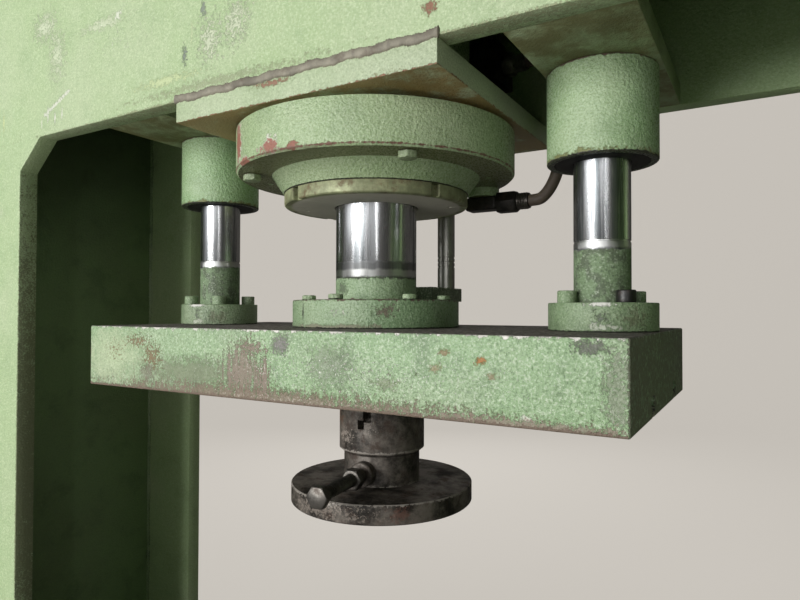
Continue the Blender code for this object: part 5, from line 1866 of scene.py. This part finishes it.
@dataclass
class Tool(Assembly):
    """Sleeve with its latch notch, the pressing disc, and the clamp screw."""

    axis: tuple[float, float] = (0.0, 0.023)
    sleeve: Profile = ((0.060, 1.1937), (0.0755, 1.1937), (0.085, 1.2012), (0.085, 1.3182),
                       (0.0835, 1.3197), (0.060, 1.3197), (0.060, 1.1937))
    disc: Profile = ((0.178, 1.0999), (0.180, 1.1019), (0.180, 1.1339), (0.178, 1.1359),
                     (0.0785, 1.1359), (0.0765, 1.1365), (0.0755, 1.1385), (0.0755, 1.1934),
                     (0.0597, 1.1934), (0.0597, 1.2820), (0.0583, 1.2834))
    entry_turn: float = -77.0
    entry: Point = (0.016, 1.2600, 1.33)
    pocket_turn: float = -85.9
    pocket: Point = (0.014, 1.2462, 1.2636)
    notch_depth: tuple[float, float] = (0.040, 0.10)
    boss_turn: float = -83.5
    boss_radius: float = 0.0235
    boss_reach: float = 0.092
    boss_height: float = 1.1619
    screw_radius: float = 0.012
    head: tuple[float, float, float] = (0.036, 0.232, 0.248)
    nut: tuple[float, float, float] = (0.036, 0.110, 0.130)

    def oiled(self, name: str, rim: float) -> Metal:
        """Oily black finish with brown tints, scrapes, a worn pale rim and painted shadow inside.

        Args:
            name: the finish's name.
            rim: height of the rim.

        Returns:
            The finish.
        """
        x, y = self.axis
        marks = (
            crumbs((x - 0.035, y - 0.075, 1.232), (0.036, 0.03, 0.026), paint(150, 140, 130), 0.8,
                   3.2, 150, 0.45),
            crumbs((x + 0.018, y - 0.083, 1.250), (0.028, 0.03, 0.026), paint(130, 122, 114), 0.8,
                   3.2, 150, 0.35),
            Patch((x - 0.060, y - 0.060, 1.262), (0.030, 0.03, 0.016), paint(104, 78, 60), 0.7,
                  3.6, 80),
            Patch((x + 0.125, y - 0.130, 1.118), (0.022, 0.03, 0.018), paint(112, 76, 64), 0.45,
                  2.6, 70),
            crumbs((x - 0.010, y - 0.178, 1.130), (0.060, 0.03, 0.008), paint(196, 190, 180), 0.8,
                   3.0, 150, 0.5),
            crumbs((x - 0.02, y - 0.170, 1.118), (0.150, 0.05, 0.024), paint(134, 124, 114), 0.7,
                   3.0, 120, 0.55, 0.5),
            # Black inside the sleeve round the disc's spigot: painted shadow.
            Patch((x, y, 1.250), (0.0605, 0.0605, 0.045), BLACK, 1.0, 0.1, 60, EVEN, 0.2, 0.0))
        return Metal(name, bright=paint(116, 109, 101), dull=paint(38, 35, 31),
                     stain=paint(60, 45, 36), gloss=0.46, metallic=0.3, staining=0.7, shine=0.25,
                     patches=marks,
                     edges=(Edge(Axis.Z, rim, 0.006, paint(140, 134, 126), 0.5, 2.6, 70),))

    def build(self) -> None:
        """Model and dress the tool."""
        self.build_sleeve()
        disc = turned("tool_disc_turned", self.axis, self.disc, sides=128)
        radius, reach, bore = self.boss_radius, self.boss_reach, self.screw_radius + 0.0004
        boss = turned("boss", (0, 0), ((radius, 0.05), (radius, reach - 0.002),
                                       (radius - 0.002, reach)), 48)
        out = sideways((*self.axis, self.boss_height), self.boss_turn)
        combine(disc, moved(boss, out), "UNION")
        combine(disc, moved(turned("bore", (0, 0), ((bore, 0.0355), (bore, 0.11)), 40), out))
        self.shop.fit(round_edges(disc, width=0.0008, angle=28), self.oiled("oiled disc", 1.1359),
                      Slot.OILED, Body.RAM, "tool_disc")
        self.build_clamp(out)

    def build_sleeve(self) -> None:
        """Model and dress the sleeve with its latch notch."""
        sleeve = turned("tool_sleeve_latched", self.axis, self.sleeve, sides=96)
        _, low, _ = self.entry
        near, far = self.notch_depth
        half = 0.011
        for turn, (wide, bottom, top) in (
                (self.entry_turn, self.entry), (self.pocket_turn, self.pocket),
                ((self.entry_turn + self.pocket_turn) / 2, (half * 2, low, self.pocket[2]))):
            cutter = block("latch", (near, -wide / 2, bottom), (far, wide / 2, top))
            combine(sleeve, moved(cutter, upright((*self.axis, 0), turn)))
        self.shop.fit(round_edges(sleeve, width=0.0009), self.oiled("oiled sleeve", 1.2012),
                      Slot.OILED, Body.RAM, "tool_sleeve")

    def build_clamp(self, out: Matrix) -> None:
        """Model and dress the clamp screw, with its thread, and its lock nut.

        Args:
            out: the matrix that points an upright piece out of the boss.
        """
        across, near, far = self.head
        head = hex_head("tool_clamp_screw_cut", across, far - near, washer=0.001)
        moved(head, Matrix.Translation((0, 0, near)))
        start, end, turns = 0.0372, 0.205, 60
        rings = [(self.screw_radius - 0.0012, 0.036)]
        for turn in range(turns):
            at = start + turn * (end - start) / turns
            rings += [(self.screw_radius - 0.0001, at), (self.screw_radius - 0.0010, at + 0.0013)]
        rings += [(self.screw_radius, end + 0.002), (self.screw_radius, near + 0.002)]
        combine(head, turned("shank", (0, 0), rings, 32), "UNION")
        self.shop.fit(moved(head, out), Metal(
            "worn screw steel", paint(112, 108, 102), paint(58, 55, 52), gloss=0.4, staining=0.6,
            metallic=0.8), Slot.OILED, Body.RAM, "clamp_screw")
        across, near, far = self.nut
        nut = hex_head("tool_lock_nut_cut", across, far - near)
        drill(nut, (0, 0), self.screw_radius + 0.0003, -PAST, 0.05)
        place = on_circle(near, self.boss_turn, self.boss_height, self.axis)
        self.shop.fit(moved(nut, sideways(place, self.boss_turn)), Metal("worn screw steel"),
                      Slot.OILED, Body.RAM, "lock_nut")


@dataclass
class OilLines(Assembly):
    """Port elbow, return hose, valve block and the pipes through the crown."""

    elbow: tuple[Point, Point] = ((0.118, 0.166, 1.6846), (0.186, 0.204, 1.7126))
    hose_start: Point = (0.2539, 0.185, 1.6986)
    hose_end: Point = (0.2626, 0.145, 1.9697)
    hose_out: float = 0.314
    hose_radius: float = 0.012
    lead: float = 0.006
    shares: tuple[Point, ...] = (
        (0.434, 0, 0.015), (0.767, 0, 0.101), (0.983, 0, 0.234), (1.033, 0.025, 0.448),
        (1.042, 0.125, 0.706), (0.950, 0.5, 0.883), (0.617, 0.875, 0.985))
    nut: tuple[float, float, float] = (0.041, 0.1863, 0.2293)
    ferrule: tuple[float, float, float] = (0.0172, 0.2296, 0.2536)
    upper: tuple[float, float, float] = (0.04074, 0.2163, 0.2623)
    block_low: Point = (0.156, 0.100, 1.9297)
    block_high: Point = (0.216, 0.190, 2.0097)
    riser: tuple[float, float] = (0.186, 0.145)
    cap_radius: float = 0.011
    cap_low: float = 2.4585
    cap_high: float = 2.5132
    bend: float = 0.045
    ports: tuple[tuple[str, float], ...] = (("supply", 0.115), ("drain", 0.175))
    port_radius: float = 0.009
    port_high: float = 2.7406
    collar: tuple[float, float] = (0.017, 2.7753)

    def hose_route(self) -> list[Vector]:
        """Centre line of the return hose, the same as in the CAD model.

        Returns:
            Its points.
        """
        (x0, y0, z0), (x1, y1, z1) = self.hose_start, self.hose_end
        points = [self.hose_start, (x0 + self.lead, y0, z0)]
        points += [(x0 + sx * (self.hose_out - x0), y0 + sy * (y1 - y0), z0 + sz * (z1 - z0))
                   for sx, sy, sz in self.shares]
        return eased([*points, (x1 + self.lead, y1, z1), self.hose_end], 8)

    def build(self) -> None:
        """Model and dress the oil lines."""
        dark = Metal("blackened fitting", paint(66, 62, 58), paint(30, 28, 26), metallic=0.6,
                     gloss=0.38, staining=0.5)
        elbow = block("port_elbow_forged", *self.elbow)
        self.shop.fit(round_edges(elbow, width=0.004, segments=3), dark, Slot.OILED, Body.FRAME,
                      "port_elbow")
        _, y, z = self.hose_start
        across, start, end = self.nut
        nut = hex_head("hose_nut_cut", across, end - start)
        self.shop.fit(moved(nut, sideways((start, y, z), 0)), dark, Slot.OILED, Body.FRAME,
                      "hose_nut")
        radius, start, end = self.ferrule
        self.shop.fit(self.crimped("hose_ferrule_crimped", radius, end - start, (start, y, z)),
                      Metal("ferrule steel", paint(104, 98, 92), paint(62, 58, 54), metallic=0.7),
                      Slot.TURNED, Body.FRAME, "hose_ferrule")
        hose = tube("return_hose_rubber", self.hose_route(), self.hose_radius)
        self.shop.fit(hose, Rubber("hose rubber"), Slot.RUBBER, Body.FRAME, "return_hose")
        across, start, end = self.upper
        _, y, z = self.hose_end
        inner = start + 0.021
        fitting = hex_head("hose_upper_fitting_cut", across, 0.022)
        moved(fitting, sideways((start, y, z), 0))
        sleeve = self.crimped("sleeve", self.ferrule[0], end - inner, (inner, y, z))
        combine(fitting, sleeve, "UNION")
        self.shop.fit(fitting, Metal("plated fitting", paint(176, 172, 160), paint(110, 106, 96)),
                      Slot.TURNED, Body.FRAME, "hose_upper_fitting")
        valve = block("valve_block_milled", self.block_low, self.block_high)
        self.shop.fit(round_edges(valve, width=0.002), dark, Slot.OILED, Body.FRAME, "valve_block")
        steel = Metal("pipe steel", paint(120, 116, 108), paint(76, 72, 66), metallic=0.7)
        top = self.block_high[2] + 0.0003
        pipe = tube("cap_pipe_bent", bent(((0, 0, self.cap_low), (0, 0, self.cap_high),
                                          (*self.riser, self.cap_high), (*self.riser, top)),
                                         self.bend, 10), self.cap_radius)
        self.shop.fit(pipe, steel, Slot.TURNED, Body.FRAME, "cap_pipe")
        (radius, high), bore, neck = self.collar, self.port_radius, self.port_high
        for name, y in self.ports:
            line = turned(f"{name}_pipe_drawn", (self.riser[0], y), (
                (bore, top), (bore, neck), (radius - 0.001, neck), (radius, neck + 0.001),
                (radius, high - 0.002), (radius - 0.002, high)), 40)
            self.shop.fit(round_edges(line, width=0.0005), steel, Slot.TURNED, Body.FRAME,
                          f"{name}_pipe")

    def crimped(self, name: str, radius: float, length: float, place: Point) -> Piece:
        """Crimped ferrule that lies along X from a place.

        Args:
            name: the piece's name.
            radius, length: its size.
            place: where it starts.

        Returns:
            The ferrule.
        """
        rings = [(radius - 0.001, 0.0)]
        for ring in range(4):
            at = length * (ring + 0.25) / 4.5
            rings += [(radius, at), (radius, at + length * 0.1),
                      (radius - 0.0008, at + length * 0.13)]
        rings.append((radius - 0.0012, length))
        ferrule = round_edges(turned(name, (0, 0), rings, sides=40), width=0.0)
        return moved(ferrule, sideways(place, 0))


@dataclass
class Studio(Assembly):
    """Camera at the photo's place, floor and wall, and soft lamps."""

    eye: Point = (0.6674, -1.0279, 1.472)
    yaw: float = 30.77
    pitch: float = 1.0
    roll: float = -0.13
    lens: float = 27.62
    shell: Profile = ((6.2, 0.0), (7.4, 0.0), (8.2, 0.25), (8.8, 0.85), (9.0, 1.7), (9.0, 8.0))
    lamps: tuple[tuple[str, Point, Point, float, float, float], ...] = (
        ("window", (-1.8, -5.4, 2.15), (0.0, 0.0, 1.5), 3.2, 2.8, 325.0),
        ("strip", (2.9, -4.5, 1.5), (0.0, 0.0, 1.5), 0.3, 2.6, 12.0),
        ("rear window", (-2.6, 5.0, 3.0), (0.0, 0.0, 1.4), 3.0, 2.6, 150.0))
    sky: float = 0.08
    air: Colour = (0.97, 0.985, 1.0, 1.0)
    sensor: float = 36.0
    clip: tuple[float, float] = (0.02, 60.0)

    def build_camera(self) -> None:
        """Set the camera where the photograph was taken."""
        data = bpy.data.cameras.new("photo camera")
        camera = bpy.data.objects.new("photo camera", data)
        bpy.context.scene.collection.objects.link(camera)
        data.lens = self.lens
        data.sensor_width = self.sensor
        data.clip_start, data.clip_end = self.clip
        camera.matrix_world = (
            Matrix.Translation(self.eye) @ Matrix.Rotation(math.radians(self.yaw), 4, "Z")
            @ Matrix.Rotation(math.radians(90 + self.pitch), 4, "X")
            @ Matrix.Rotation(math.radians(-self.roll), 4, "Z"))
        bpy.context.scene.camera = camera

    def build(self) -> None:
        """Add the floor, the wall, the lamps and the world."""
        shell = turned("studio_shell", (0, 0), self.shell, 96, open_top=True)
        round_edges(shell, width=0.0, angle=80)
        shell.data.materials.append(self.shop.finish(Backing("studio grey")))
        shell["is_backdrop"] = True
        for name, place, aim, width, height, power in self.lamps:
            data = bpy.data.lights.new(name, "AREA")
            data.shape = "RECTANGLE"
            data.size, data.size_y, data.energy = width, height, power
            lamp = bpy.data.objects.new(name, data)
            bpy.context.scene.collection.objects.link(lamp)
            lamp.location = place
            ray = Vector(aim) - Vector(place)
            lamp.rotation_euler = ray.to_track_quat("-Z", "Y").to_euler()
            lamp.visible_camera = False
            lamp.visible_glossy = not name.startswith("rear")
        world = bpy.data.worlds.new("studio air")
        bpy.context.scene.world = world
        world.use_nodes = True
        back = world.node_tree.nodes["Background"]
        back.inputs["Color"].default_value = self.air
        back.inputs["Strength"].default_value = self.sky
        bpy.context.scene.view_settings.view_transform = "Standard"
        LOG.info("studio ready")


def corners() -> list[list[float]]:
    """The object's present box as plain lists."""
    return [[float(v) for v in corner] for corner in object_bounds()]


def main() -> None:
    """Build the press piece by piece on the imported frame."""
    logging.basicConfig(level=logging.INFO, format="%(name)s %(message)s")
    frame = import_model()
    shop = Shop(frame)
    studio = Studio(shop)
    studio.build_camera()
    for assembly in (PressFrame(shop), Bed(shop), CylinderMount(shop), Cylinder(shop),
                     Gland(shop), Ram(shop), Platen(shop), Guide(shop, Side.LEFT),
                     Guide(shop, Side.RIGHT), TravelRod(shop), Tool(shop), OilLines(shop),
                     studio):
        LOG.info("building %s", type(assembly).__name__)
        assembly.build()


if __name__ == "__main__":
    main()
